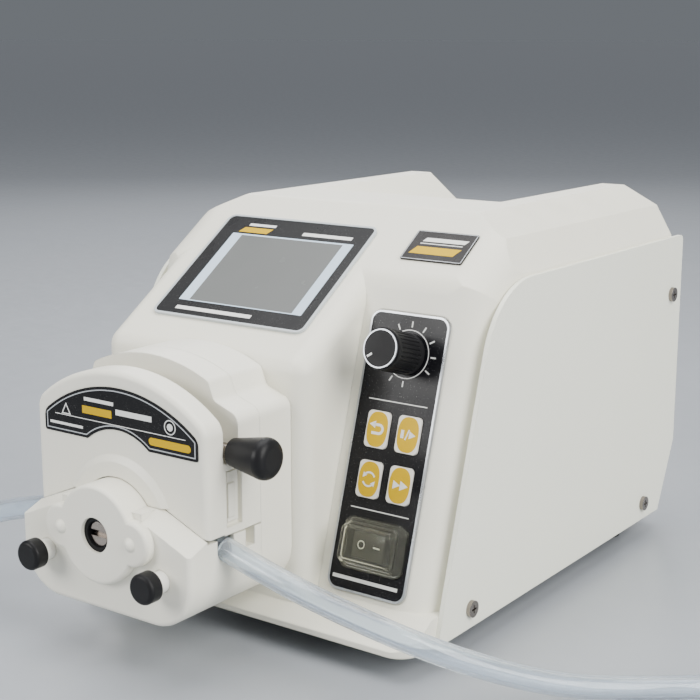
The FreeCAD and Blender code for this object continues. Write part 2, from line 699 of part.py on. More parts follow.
def head_box(left, right, low, high, bottom, top):
    """A box of the head from its sides, depths and levels; the sides are from the rotor's axis."""
    left, low, bottom = as_size(left), as_size(low), as_size(bottom)
    return box(d.headMid + left, depth(low), bottom, as_size(right) - left, as_size(high) - low,
               as_size(top) - bottom)


def head_prism(outline, low, high, rounds=()):
    """A prism of the head along Y; across is from the rotor's axis, up is from the bench."""
    return prism("XZ", outline, depth(as_size(low)), as_size(high) - as_size(low), rounds,
                 (d.headMid, as_size(0)))


def head_rear_plate():
    """Back plate with the arched top and its two shoulders; it holds the rear bearing."""
    half = d.headHalf
    neck = d.archHalf + 3
    outline = [(half, d.headLow), (half, d.shoulderOut), (neck, d.shoulderIn), (d.archHalf, d.archFoot),
               (-d.archHalf, d.archFoot, d.archBack), (-neck, d.shoulderIn), (-half, d.shoulderOut),
               (-half, d.headLow)]
    plate = head_prism(outline, d.seamDepth, d.blockFront, [
        ((0, 7), d.headRound), ((1, 6), as_size(5)), ((2, 3, 4, 5), as_size(3))])
    holes = [head_bore(d.bearingRadius, d.seamDepth - 1, d.seamDepth + 5),
             head_bore(7.2, d.seamDepth, d.blockFront + 1)]
    for across, level in head_screw_places():
        holes.append(rod("Y", across, depth(d.seamDepth - 1), level, 2.1, 24))
        holes.append(rod("Y", across, depth(d.seamDepth - 1), level, 4.1, 5.2))
    return node("head_rear_plate", cut(plate, *holes))


def head_screws():
    """Socket screws that hold the head to the casing."""
    screws = []
    for across, level in head_screw_places():
        head = rod("Y", across, depth(d.seamDepth + 0.2), level, 3.9, 4.0)
        socket = rod("Y", across, depth(d.seamDepth), level, 1.6, 2.5)
        shank = rod("Y", across, depth(d.seamDepth + 4), level, 2.0, 20)
        screws.append(cut(fuse(head, shank), socket))
    return node("head_screws", group(*screws))


def guide_rod(side, low, high, radius):
    """An upright guide of the pressure block, fixed in the lower housing."""
    return rod("Z", d.headMid + 36.0 * side, depth(-17.7), low, radius, high - low)


SEAM_HIGH = 69.2
SEAM_BEND = 24.0


def lower_housing():
    """Fixed lower body: front wall with hump and bearing boss, rotor cavity, tube ways and push-rod bores."""
    half = d.headHalf
    corner = d.seamSide + 1.2
    hump = math.sqrt(value("humpRadius") ** 2 - (SEAM_HIGH - value("axisLevel")) ** 2)
    front = head_prism([(half, d.headLow), (half, corner), (SEAM_BEND, SEAM_HIGH), (hump, SEAM_HIGH),
                        (-hump, SEAM_HIGH, d.humpRadius), (-SEAM_BEND, SEAM_HIGH), (-half, corner),
                        (-half, d.headLow)], d.housingFront, d.blockFace, [((0, 7), d.headRound)])
    front = rounded(front, as_size(2.0), lambda a, b: (
        abs(a.y - depth(d.housingFront).value) + abs(b.y - depth(d.housingFront).value) < 1e-6
        and max(a.z, b.z) < value("seamSide") and abs(a.x - b.x) + abs(a.z - b.z) > 1))
    rear = head_prism([(half, d.headLow), (half, d.seamSide), (-half, d.seamSide), (-half, d.headLow)],
                      d.blockFace, d.seamDepth, [((0, 3), d.headRound)])
    boss = [head_bore(d.humpRadius, d.bossFront, d.housingFront),
            head_box(-d.earOffset, d.earOffset, d.bossFront, d.housingFront, d.axisLevel - d.earRadius,
                     d.axisLevel + d.earRadius)]
    domes = []
    for side in (-1, 1):
        ear = d.headMid + d.earOffset * side
        boss.append(rod("Y", ear, depth(d.bossFront), d.axisLevel, d.earRadius, d.housingFront - d.bossFront))
        domes.append(ball(ear, depth(d.bossFront + 1.7), d.axisLevel, 3.4))
    boss = rounded(fuse(*boss), as_size(1.6), lambda a, b: (
        abs(a.y - depth(d.bossFront).value) + abs(b.y - depth(d.bossFront).value) < 1e-6))
    body = fuse(front, rear, boss, *domes)
    cavity = [head_bore(d.cavityRadius, d.cavityFront, d.seamDepth + 1),
              head_bore(d.bearingRadius, d.cavityFront - 5, d.cavityFront + 1),
              head_bore(7.3, d.bossFront - 3, d.cavityFront)]
    for side in (-1, 1):
        cavity.append(side_box(side, 20, 44.6, -38.8, -21.5, 48.9, 75))
        cavity.append(side_box(side, 40, d.headHalf + 1, -37.95, -28.05, d.tubeLevel, 75))
        cavity.append(side_rod(side, 40, d.headHalf + 1, -33.0, d.tubeLevel, 5.0))
        cavity.append(side_box(side, 29.3, 40.7, -36.9, -26.1, 36.5, 75))
        cavity.append(side_box(side, 40, d.headHalf + 1, -20.8, -15.2, 51.0, 75))
        cavity.append(rod("Y", d.headMid + d.pushOffset * side, depth(d.housingFront - 1), d.pushLevel,
                          4.5, 18.5))
        cavity.append(guide_rod(side, 40.0, 80.0, 2.5))
    body = cut(body, *cavity)
    slopes = [fixed_shape("FrontSlope", seam_slope(side)) for side in (-1, 1)]
    return node("lower_housing", cut(body, *slopes))


def side_box(side, inner, outer, low, high, bottom, top):
    """A head box on one side of the axis, given by its distances from it."""
    left, right = (inner, outer) if side > 0 else (-outer, -inner)
    return head_box(left, right, low, high, bottom, top)


def side_rod(side, inner, outer, middle, level, radius):
    """A level rod across one side of the head, given by its distances from the axis."""
    start = as_size(inner if side > 0 else -outer)
    return rod("X", d.headMid + start, depth(as_size(middle)), level, radius, as_size(outer) - inner)


def seam_slope(side):
    """What is cut away above the lower body's front shoulder, so that it falls towards the front."""
    back = value("front") + value("blockFace")
    reach = 12.0
    fall = 4.5
    start = value("headMid") + side * (SEAM_BEND - 2)
    run = value("headHalf") + 2 - SEAM_BEND + 2
    slope = (SEAM_HIGH - value("seamSide") - 1.2) / (value("headHalf") - SEAM_BEND)
    top = SEAM_HIGH + 2 * slope
    corners = [Vector(start, back, top), Vector(start, back - reach, top - fall),
               Vector(start, back - reach, top + 20), Vector(start, back, top + 20)]
    wedge = Part.Face(Part.makePolygon(corners + corners[:1])).extrude(Vector(side * run, 0, -slope * run))
    keep = Part.makeCylinder(value("humpRadius") + 0.6, 40, Vector(
        value("headMid"), value("front") + value("bossFront") - 10, value("axisLevel")), Vector(0, 1, 0))
    return wedge.cut(keep)


def bearings():
    rings = []
    for low in (d.cavityFront - 5, d.seamDepth):
        groove = cut(head_bore(8.2, low - 1, low + 0.5), head_bore(6.4, low - 2, low + 1))
        rings.append(cut(head_bore(d.bearingRadius, low, low + 5),
                         head_bore(d.shaftRadius + 0.05, low - 1, low + 6), groove))
    node("shaft_bearings", group(*rings))
    seal = head_bore(7.3, d.bossFront + 1.6, d.cavityFront - 5)
    node("shaft_seal", cut(seal, head_bore(5.5, d.bossFront, d.cavityFront)))


# ---------------------------------------------------------------- pump head, pressure block
def pressure_block():
    """Sliding upper block: arched front plate, bed over the rotor, gap for the lever, rear arch."""
    half = d.headHalf
    corner = d.seamSide + 1.3
    hump_radius = d.humpRadius + 0.4
    hump = math.sqrt(hump_radius.value ** 2 - (SEAM_HIGH + 0.2 - value("axisLevel")) ** 2)
    seam = SEAM_HIGH + 0.2
    face = head_prism([(SEAM_BEND, seam), (half, corner), (half, d.archSide),
                       (-half, d.archSide, d.archRadius), (-half, corner), (-SEAM_BEND, seam),
                       (-hump, seam), (hump, seam, -hump_radius)], d.blockFace, d.plateBack,
                      [((2, 3), as_size(8.0))])
    face = rounded(face, as_size(2.5), outer_front_edges)
    bridge = head_box(-half, half, d.plateBack, d.gapBack, d.seamSide + 0.6, d.gapFloor)
    neck = d.archHalf + 3
    back = head_prism([(half, d.seamSide + 0.6), (half, d.shoulderOut), (neck, d.shoulderIn),
                       (d.archHalf, d.archFoot), (-d.archHalf, d.archFoot, d.archBack),
                       (-neck, d.shoulderIn), (-half, d.shoulderOut), (-half, d.seamSide + 0.6)],
                      d.gapBack, d.seamDepth,
                      [((1, 6), as_size(5)), ((2, 3, 4, 5), as_size(3))])
    collar = cut(cone_on_axis(29.8, 27.0, d.blockFace, d.blockFace - 1.8),
                 head_bore(hump_radius, d.blockFace - 4, d.blockFace + 1),
                 head_box(-40, 40, d.blockFace - 4, d.blockFace + 1, 20, SEAM_HIGH + 0.2))
    body = fuse(face, bridge, back, collar)
    bed_front = d.cavityFront + 2
    bed_back = d.seamDepth + 1
    ways = [head_bore(d.bedRadius, bed_front, bed_back),
            head_prism([(-37.2, 50), (37.2, 50), (37.2, 59.4), (21.4, 77.2), (-21.4, 77.2),
                        (-37.2, 59.4)], bed_front, bed_back),
            rod("Y", d.headMid, depth(d.blockFace + 2), d.leverLevel, 2.55, 40)]
    for side in (-1, 1):
        ways.append(side_box(side, half - 2.4, half + 1, -32.0, -22.7, 62.2, 85.6))
        ways.append(side_box(side, 30, half + 1, -38.1, -27.9, 50, 59.3))
        ways.append(guide_rod(side, 50.0, 104.0, 2.6))
    return node("pressure_block", cut(body, *ways))


def outer_front_edges(start, end):
    """The sides and the arch of the block's front face."""
    here = depth(d.blockFace).value
    level = value("seamSide") + 1.2
    on_face = abs(start.y - here) < 1e-6 and abs(end.y - here) < 1e-6
    side = value("headHalf") - 9
    far = min(abs(start.x - value("headMid")), abs(end.x - value("headMid"))) > side
    return on_face and min(start.z, end.z) > level and far


def cone_on_axis(radius, end_radius, back, front):
    """A cone frustum on the rotor's axis that narrows towards the front."""
    thing = doc.addObject("Part::Cone", "Collar")
    for name, number in (("Radius1", end_radius), ("Radius2", radius), ("Height", back - front)):
        bind(thing, name, number)
    return seat(thing, d.headMid, depth(front), d.axisLevel, AXES["Y"])


def block_trims():
    """Arched label plate and the spring latches in the side recesses."""
    foot = as_size(91.4)
    high = foot + 8.4
    left = as_size(-41.4)
    right = as_size(43.0)
    label = head_prism([(right, foot), (right, high), (left, high, 67), (left, foot),
                        (as_size(-16.8), foot), (as_size(17.2), foot, -27)],
                       d.blockFace - 0.35, d.blockFace, [((1, 2), as_size(5.0)), ((0, 3), as_size(1.0))])
    node("block_label", label)
    latches = []
    for side in (-1, 1):
        strip = side_box(side, d.headHalf - 2.4, d.headHalf - 1.0, -30.6, -24.1, 64.0, 84.6)
        catch = side_box(side, d.headHalf - 2.4, d.headHalf - 0.3, -30.6, -26.8, 66.0, 80.0)
        latches.append(fuse(strip, catch))
    node("side_latches", group(*latches))
    node("guide_rods", group(*[guide_rod(side, 40.0, 102.0, 2.5) for side in (-1, 1)]))


# ---------------------------------------------------------------- rotor
def roller_places():
    return [(value("rollerPitch") * math.cos(math.radians(angle)),
             value("rollerPitch") * math.sin(math.radians(angle))) for angle in (90, 210, 330)]


def rotor():
    """Slotted shaft with its hub, the cage of two discs and three pins, and the three rollers."""
    front_disc = -40.5
    roller_front = -37.6
    roller_back = -21.6
    back_disc = -18.8
    play = 0.2
    shaft = cut(head_bore(d.shaftRadius, -56.0, 3.0),
                head_box(-7, 7, -57.0, -54.0, d.axisLevel - 1.3, d.axisLevel + 1.3))
    hub = head_bore(8.0, roller_front - play, roller_back + play)
    node("rotor_shaft", fuse(shaft, hub))
    pins = [rod("Y", d.headMid + x, depth(front_disc), d.axisLevel + z, d.pinRadius,
                back_disc - front_disc) for x, z in roller_places()]
    plates = fuse(head_bore(d.discRadius, front_disc, roller_front - play),
                  head_bore(d.discRadius, roller_back + play, back_disc))
    node("rotor_cage", fuse(cut(plates, head_bore(d.shaftRadius, -45, -10)), *pins))
    for number, (x, z) in enumerate(roller_places(), 1):
        across = d.headMid + x
        level = d.axisLevel + z
        roller = cut(rod("Y", across, depth(roller_front), level, d.rollerRadius,
                         roller_back - roller_front),
                     rod("Y", across, depth(roller_front - 1), level, d.pinRadius + 0.06, 20))
        node("roller_%d" % number, roller)


# ---------------------------------------------------------------- lever and push rods
def lever():
    """Lever that lifts the block: hub on a cross pin, bright rod and tapered knob."""
    mid, level = d.leverDepth, d.leverLevel
    hub = rod("Y", d.headMid, depth(d.plateBack + 0.4), level, 4.2, d.gapBack - d.plateBack - 0.8)
    cross = rod("Y", d.headMid, depth(d.blockFace + 3.4), level, 2.5, 27.0)
    start = d.leverReach - d.leverKnob
    arm = rod("X", d.headMid, depth(mid), level, d.leverRod, start + 10)
    node("lever_arm", fuse(hub, cross, arm))
    body = fuse(cone("X", d.headMid + start, depth(mid), level, 5.6, 8.4, d.leverKnob - 4.5),
                rod("X", d.headMid + d.leverReach - 4.5, depth(mid), level, 8.4, 4.5))
    body = soft_rim(body, "X", d.headMid + d.leverReach, 3.8)
    bore = rod("X", d.headMid + start - 1, depth(mid), level, d.leverRod, 11)
    node("lever_knob", cut(body, bore))


def push_rods():
    """Two sprung push rods, each with a black cap, and the jaws that hold the tube."""
    for side, name in ((-1, "left"), (1, "right")):
        across = d.headMid + d.pushOffset * side
        cap_back = d.pushFront + d.pushThick
        cap = rod("Y", across, depth(d.pushFront), d.pushLevel, d.pushRadius, d.pushThick)
        cap = soft_rim(cap, "Y", depth(d.pushFront), 1.8)
        node("push_cap_" + name, cap)
        collar = rod("Y", across, depth(cap_back), d.pushLevel, d.stemRadius,
                     d.housingFront - cap_back - 0.2 - d.pushTravel)
        stem = rod("Y", across, depth(cap_back), d.pushLevel, 4.4, 18.6)
        node("push_stem_" + name, fuse(collar, stem))
        jaw = side_box(side, 29.6, 40.4, -36.6, -26.4, 40.0, 48.9)
        node("tube_jaw_" + name, jaw)


# ---------------------------------------------------------------- drive and electronics
def motor():
    low = 15.0
    half = 28.2
    body = box(d.headMid - half, depth(low + 2), d.axisLevel - half, 2 * half, 74, 2 * half)
    body = rounded(body, as_size(4.0), lambda a, b: abs(a.x - b.x) + abs(a.z - b.z) < 1e-6)
    pilot = rod("Y", d.headMid, depth(low + 0.6), d.axisLevel, 19.05, 1.6)
    node("motor", cut(fuse(body, pilot), rod("Y", d.headMid, depth(low), d.axisLevel, 4.3, 30)))
    coupling = rod("Y", d.headMid, depth(3), d.axisLevel, 6.6, 12)
    node("motor_shaft", fuse(rod("Y", d.headMid, depth(14), d.axisLevel, 4.0, 28), coupling))
    plate = box(d.headMid - 32, depth(11.8), d.axisLevel - 32, 64, 3, 64)
    posts = [rod("Y", d.headMid + x, depth(14.6), d.axisLevel + z, 3, 2.4)
             for x in (-23.5, 23.5) for z in (-23.5, 23.5)]
    holes = [rod("Y", d.headMid, depth(11), d.axisLevel, 19.2, 5)]
    for across, level in head_screw_places():
        holes.append(rod("Y", across, depth(9), level, 2.4, 8))
    node("motor_bracket", cut(fuse(plate, *posts), *holes))


def electronics():
    """Power supply on the base plate and the main board over it."""
    floor = d.under + 0.2 + d.baseThick
    height = 30
    supply = box(-78, depth(128), floor, 98, 86, height)
    terminals = box(20, depth(140), floor, 12, 70, 14)
    post = rod("Z", -56, depth(202), floor + height - 1, 3, d.boardRise - height + 1)
    node("power_supply", fuse(supply, terminals, post))
    level = floor + d.boardRise
    thick = 1.6
    board = box(-60, depth(112), level, 110, 96, thick)
    chips = [box(-50 + 26 * n, depth(130), level + thick, 14, 14, 3) for n in range(4)]
    cans = [rod("Z", -40 + 18 * n, depth(175), level + thick, 5, 14) for n in range(4)]
    node("main_board", fuse(board, *chips, *cans))


def rear_fittings():
    face = d.rear + d.rearPlateThick
    inner = d.rear - 12
    frame = cut(box(FAN[0] - 20, depth(inner), FAN[1] - 20, 40, 12, 40),
                rod("Y", FAN[0], depth(inner - 1), FAN[1], 18.6, 14))
    spider = [box(FAN[0] - 20, depth(inner), FAN[1] - 1.5, 40, 1.5, 3),
              box(FAN[0] - 1.5, depth(inner), FAN[1] - 20, 3, 1.5, 40)]
    node("fan_frame", fuse(frame, *spider))
    blades = [rod("Y", FAN[0], depth(inner + 2.0), FAN[1], 8, 8)]
    for n in range(7):
        middle = Placement(Vector(FAN[0], depth(inner + 3.5).value, FAN[1]),
                           Rotation(Vector(0, 1, 0), 360.0 * (n + 0.5) / 7))
        tilt = Placement(Vector(4.6, 0, 0), Rotation(Vector(1, 0, 0), 35))
        blades.append(turned_box(13.2, 5.5, 1.0, middle * tilt))
    node("fan_rotor", fuse(*blades))
    rings = [cut(rod("Y", FAN[0], depth(face), FAN[1], r + 0.8, 1.2),
                 rod("Y", FAN[0], depth(face - 1), FAN[1], r - 0.8, 4)) for r in (6.0, 12.0, 18.0)]
    rays = []
    for turn, reach in ((0, 18.5), (45, 22.6), (90, 18.5), (135, 22.6)):
        spot = Placement(Vector(FAN[0], depth(face).value, FAN[1]), Rotation(Vector(0, 1, 0), turn))
        rays.append(turned_box(2 * reach, 1.2, 1.6, spot * Placement(Vector(-reach, 0, -0.8), Rotation())))
    tabs = [rod("Y", FAN[0] + x, depth(face), FAN[1] + z, 3, 1.2) for x in (-16, 16) for z in (-16, 16)]
    node("fan_guard", fuse(*rings, *rays, *tabs))
    flange = box(INLET[0] - 17, depth(face), INLET[1] - 12, 34, 2, 24)
    shroud = box(INLET[0] - 13.4, depth(face - 18), INLET[1] - 9.9, 26.8, 19, 19.8)
    socket = cut(fuse(flange, shroud), box(INLET[0] - 12, depth(face - 14), INLET[1] - 8.2, 24, 20, 16.4))
    blades3 = [box(INLET[0] + x - 2, depth(face - 15), INLET[1] + z - 1, 4, 12, 2)
               for x, z in ((-7, -2), (7, -2), (0, 2.5))]
    node("power_inlet", fuse(socket, *blades3))
    shell = fuse(box(PORT[0] - 19.5, depth(face), PORT[1] - 6.2, 39, 1, 12.4),
                 box(PORT[0] - 12.5, depth(face - 8), PORT[1] - 4.1, 25, 14, 8.2))
    pins = [rod("Y", PORT[0] + 2.77 * (n - 3.5), depth(face + 1), PORT[1] - 1.4, 0.5, 4.5) for n in range(8)]
    pins += [rod("Y", PORT[0] + 2.77 * (n - 3), depth(face + 1), PORT[1] + 1.4, 0.5, 4.5) for n in range(7)]
    hollow = box(PORT[0] - 11.7, depth(face + 1.5), PORT[1] - 3.3, 23.4, 6, 6.6)
    node("control_port", fuse(cut(shell, hollow), *pins))
    nut = fuse(rod("Y", FUSE[0], depth(face), FUSE[1], 7.5, 2),
               rod("Y", FUSE[0], depth(face - 22), FUSE[1], 6.0, 24))
    holder = cut(nut, rod("Y", FUSE[0], depth(face - 8), FUSE[1], 4.8, 12))
    cap = fuse(rod("Y", FUSE[0], depth(face - 8), FUSE[1], 4.8, 14),
                    rod("Y", FUSE[0], depth(face + 2.2), FUSE[1], 6.2, 6))
    cap = cut(cap, box(FUSE[0] - 5, depth(face + 7), FUSE[1] - 0.6, 10, 2, 1.2))
    node("fuse_holder", group(holder, cap))


# ---------------------------------------------------------------- tubing
def band_turn():
    """Angle where the straight leg of the tube leaves the arc over the rollers."""
    reach = math.hypot(BAND_EXIT[0], BAND_EXIT[1])
    return math.atan2(BAND_EXIT[1], BAND_EXIT[0]) + math.acos(BAND_RADIUS / reach)


BAND_RADIUS = 26.8
BAND_EXIT = (37.5, -1.7)
BAND_HALF = 1.4
BAND_WIDE = 14.0
BAND_DEPTH = -36.6


def pump_tube():
    """The stretch of tube in the head: flattened over the rollers, round again where it leaves."""
    angle = band_turn()
    y = value("front") + BAND_DEPTH
    mid = value("headMid")
    level = value("axisLevel")

    def on_circle(radius, turn):
        return Vector(mid + radius * math.cos(turn), y, level + radius * math.sin(turn))

    outer = BAND_RADIUS + BAND_HALF
    inner = BAND_RADIUS - BAND_HALF
    leg = Vector(math.sin(angle), 0, -math.cos(angle)) * math.sqrt(
        BAND_EXIT[0] ** 2 + BAND_EXIT[1] ** 2 - BAND_RADIUS ** 2)
    mirror_leg = Vector(-leg.x, 0, leg.z)
    right = [on_circle(radius, angle) for radius in (outer, inner)]
    left = [on_circle(radius, math.pi - angle) for radius in (outer, inner)]
    edges = [Part.Arc(right[0], on_circle(outer, math.pi / 2), left[0]).toShape(),
             Part.makeLine(left[0], left[0] + mirror_leg),
             Part.makeLine(left[0] + mirror_leg, left[1] + mirror_leg),
             Part.makeLine(left[1] + mirror_leg, left[1]),
             Part.Arc(left[1], on_circle(inner, math.pi / 2), right[1]).toShape(),
             Part.makeLine(right[1], right[1] + leg),
             Part.makeLine(right[1] + leg, right[0] + leg),
             Part.makeLine(right[0] + leg, right[0])]
    band = Part.Face(Part.Wire(edges)).extrude(Vector(0, BAND_WIDE, 0))
    tube = band
    for side in (-1, 1):
        start = Vector(mid + side * BAND_EXIT[0], y + BAND_WIDE / 2, level + BAND_EXIT[1])
        end = Vector(mid + side * (value("headHalf") - 2.0), value("front") + value("tubeDepth"),
                     value("tubeLevel"))
        away = Vector(side * math.sin(angle), 0, -math.cos(angle))
        flat = Part.Ellipse(start + Vector(0, BAND_WIDE / 2, 0), start + away.cross(Vector(0, 1, 0))
                            * BAND_HALF, start).toShape()
        rim = Part.Circle(end, Vector(side, 0, 0), value("tubeRadius")).toShape()
        tube = tube.fuse(Part.makeLoft([Part.Wire(flat), Part.Wire(rim)], True))
    return node("pump_tube", fixed_shape("PumpTube", tube.removeSplitter()))


# Routes of the free ends of the tube: across, depth from the casing's front edge, level.
RIGHT_ROUTE = [
    (27.0, -33.0, 54.0), (45.0, -33.6, 49.6), (65.0, -32.4, 44.2), (85.0, -28.4, 38.2),
    (104.0, -21.8, 31.6), (121.5, -10.4, 23.6), (137.0, 7.5, 14.2), (153.0, 26.5, 7.0),
    (172.0, 45.0, 4.8), (192.0, 60.5, 4.8), (208.5, 80.0, 4.8), (219.0, 103.5, 4.8),
    (221.0, 129.0, 4.8), (213.0, 153.0, 4.8),
]
LEFT_ROUTE = [
    (-65.4, -33.0, 54.0), (-83.0, -34.0, 50.2), (-102.0, -36.5, 45.0), (-121.0, -41.5, 37.6),
    (-139.0, -50.0, 28.4), (-155.0, -62.5, 18.6), (-167.5, -79.0, 10.6), (-175.0, -98.5, 6.0),
    (-176.5, -120.0, 4.8), (-171.2, -140.6, 4.8),
]


def cord(name, route):
    """A round tube along straight runs joined by tangent arcs."""
    points = [Vector(x, value("front") + y, z) for x, y, z in route]
    edges = []
    radii = []
    start = points[0]
    for before, corner, after in zip(points, points[1:], points[2:]):
        inwards = (corner - before)
        outwards = (after - corner)
        shorter = min(inwards.Length, outwards.Length)
        turn = inwards.getAngle(outwards)
        trim = 0.45 * shorter
        radii.append(trim / math.tan(turn / 2))
        arc_in = corner - inwards.normalize() * trim
        arc_out = corner + outwards.normalize() * trim
        middle_way = (outwards - inwards).normalize()
        sagitta = radii[-1] * (1 / math.cos(turn / 2) - 1)
        edges.append(Part.makeLine(start, arc_in))
        edges.append(Part.Arc(arc_in, corner + middle_way * sagitta, arc_out).toShape())
        start = arc_out
    edges.append(Part.makeLine(start, points[-1]))
    path = Part.Wire(edges)
    profile = Part.Wire(Part.Circle(points[0], points[1] - points[0], value("tubeRadius")).toShape())
    tube = path.makePipeShell([profile], True, False)
    expected = math.pi * value("tubeRadius") ** 2 * path.Length
    print("%s: length %.1f, volume ratio %.4f, radii %s" % (
        name, path.Length, tube.Volume / expected, " ".join("%.0f" % r for r in radii)))
    return node(name, fixed_shape("Cord", tube))


# ---------------------------------------------------------------- make, check and write everything
def build():
    front_shell()
    side_panel("side_panel_right", d.halfWidth + d.panelThick, d.halfWidth)
    side_panel("side_panel_left", -(d.halfWidth + d.panelThick), -d.halfWidth)
    case_screws()
    rear_panel()
    base_plate()
    feet()
    display()
    control_strip()
    buttons()
    control_board()
    speed_control()
    power_switch()
    head_rear_plate()
    head_screws()
    lower_housing()
    bearings()
    pressure_block()
    block_trims()
    rotor()
    lever()
    push_rods()
    motor()
    electronics()
    rear_fittings()
    pump_tube()
    cord("tube_left", LEFT_ROUTE)
    cord("tube_right", RIGHT_ROUTE)


def check_and_write():
    doc.recompute()
    for thing in doc.Objects:
        if "Invalid" in thing.State or "Error" in thing.State:
            raise RuntimeError("%s did not compute: %s" % (thing.Label, thing.getStatusString()))
    os.makedirs("parts", exist_ok=True)
    for thing in nodes:
        shape = thing.Shape
        if shape.isNull() or not shape.isValid() or not shape.Solids:
            raise RuntimeError("%s has no sound shape" % thing.Label)
        shape.exportStep("parts/%s.step" % thing.Label)
    print("%d nodes written" % len(nodes))


build()
check_and_write()
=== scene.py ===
"""Looks of a bench-top peristaltic pump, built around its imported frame. Everything is in metres."""
import json
import math

import bmesh
import bpy
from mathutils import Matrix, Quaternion, Vector


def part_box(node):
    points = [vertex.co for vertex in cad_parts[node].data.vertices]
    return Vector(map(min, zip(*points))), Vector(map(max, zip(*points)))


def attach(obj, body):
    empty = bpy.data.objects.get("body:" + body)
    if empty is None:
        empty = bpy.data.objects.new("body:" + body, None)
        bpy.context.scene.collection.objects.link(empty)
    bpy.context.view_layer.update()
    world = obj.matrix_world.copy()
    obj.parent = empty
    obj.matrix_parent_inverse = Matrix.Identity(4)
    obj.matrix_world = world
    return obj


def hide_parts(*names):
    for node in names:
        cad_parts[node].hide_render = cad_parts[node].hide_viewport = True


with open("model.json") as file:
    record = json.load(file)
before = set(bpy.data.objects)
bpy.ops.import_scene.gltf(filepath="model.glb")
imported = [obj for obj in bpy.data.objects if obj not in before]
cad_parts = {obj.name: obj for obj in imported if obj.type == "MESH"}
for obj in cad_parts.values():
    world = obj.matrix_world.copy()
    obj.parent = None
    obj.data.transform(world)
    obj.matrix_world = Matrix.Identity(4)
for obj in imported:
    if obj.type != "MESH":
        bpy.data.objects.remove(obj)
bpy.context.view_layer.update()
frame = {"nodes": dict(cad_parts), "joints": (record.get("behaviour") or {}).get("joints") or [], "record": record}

MM = 0.001
ACROSS = Vector((1, 0, 0))
UPRIGHT = Vector((0, 0, 1))
JOINTS = {joint["name"]: joint for joint in frame["joints"]}
LEAN_UP = Vector(JOINTS["rocker_tilt"]["axis"]).normalized()
SLOPE_RATIO = 1.5
SLOPE_UP = Vector((0, SLOPE_RATIO, 1)).normalized()
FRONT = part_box("front_shell")[0][1]


# ---------------------------------------------------------------- camera, lights and floor
def link(thing):
    bpy.context.scene.collection.objects.link(thing)
    return thing


def aim(thing, way):
    thing.rotation_euler = way.to_track_quat("-Z", "Y").to_euler()


def make_camera():
    azimuth = math.radians(35.69)
    fall = math.radians(12.39)
    data = bpy.data.cameras.new("camera")
    data.sensor_width = 36
    data.lens = 73.7
    camera = link(bpy.data.objects.new("camera", data))
    camera.location = (0.3788, FRONT - 0.4385, 0.2516)
    aim(camera, Vector((-math.sin(azimuth) * math.cos(fall), math.cos(azimuth) * math.cos(fall),
                        -math.sin(fall))))
    bpy.context.scene.camera = camera


def make_light(name, place, target, size, power, colour=(1, 1, 1)):
    data = bpy.data.lights.new(name, "AREA")
    data.shape = "RECTANGLE"
    data.size, data.size_y = size
    data.energy = power
    data.color = colour
    light = link(bpy.data.objects.new(name, data))
    light.location = place
    aim(light, Vector(target) - Vector(place))


def make_studio():
    middle = (0, 0.02, 0.09)
    make_light("side_box", (1.25, -0.25, 0.85), middle, (0.9, 1.2), 34.0, (1.0, 0.99, 0.955))
    make_light("top_box", (-0.15, 0.15, 1.5), middle, (1.5, 1.3), 31.0)
    make_light("front_box", (-0.75, -1.35, 0.75), middle, (0.9, 0.7), 20.0, (1.0, 0.99, 0.97))
    make_light("back_box", (-0.9, 1.2, 0.9), middle, (0.9, 0.7), 8.0)
    world = bpy.data.worlds.new("studio")
    world.use_nodes = True
    tree = world.node_tree
    backdrop = tree.nodes["Background"]
    backdrop.inputs["Strength"].default_value = 0.34
    # the camera sees a darker wall than the one that lights the machine
    wall = tree.nodes.new("ShaderNodeMixRGB")
    wall.inputs["Color1"].default_value = (0.80, 0.84, 0.90, 1)
    wall.inputs["Color2"].default_value = (0.462, 0.50, 0.548, 1)
    tree.links.new(tree.nodes.new("ShaderNodeLightPath").outputs["Is Camera Ray"], wall.inputs["Fac"])
    tree.links.new(wall.outputs["Color"], backdrop.inputs["Color"])
    bpy.context.scene.world = world


def make_floor():
    half = 60.0
    mesh = bpy.data.meshes.new("floor")
    mesh.from_pydata([(-half, -half, 0), (half, -half, 0), (half, half, 0), (-half, half, 0)], [],
                     [(0, 1, 2, 3)])
    floor = link(bpy.data.objects.new("floor", mesh))
    mesh.materials.append(surface("pale_floor", (0.34, 0.36, 0.39), 0.35, grain=900, relief=0.01,
                                  mottle=0.01, scuff=0.04))


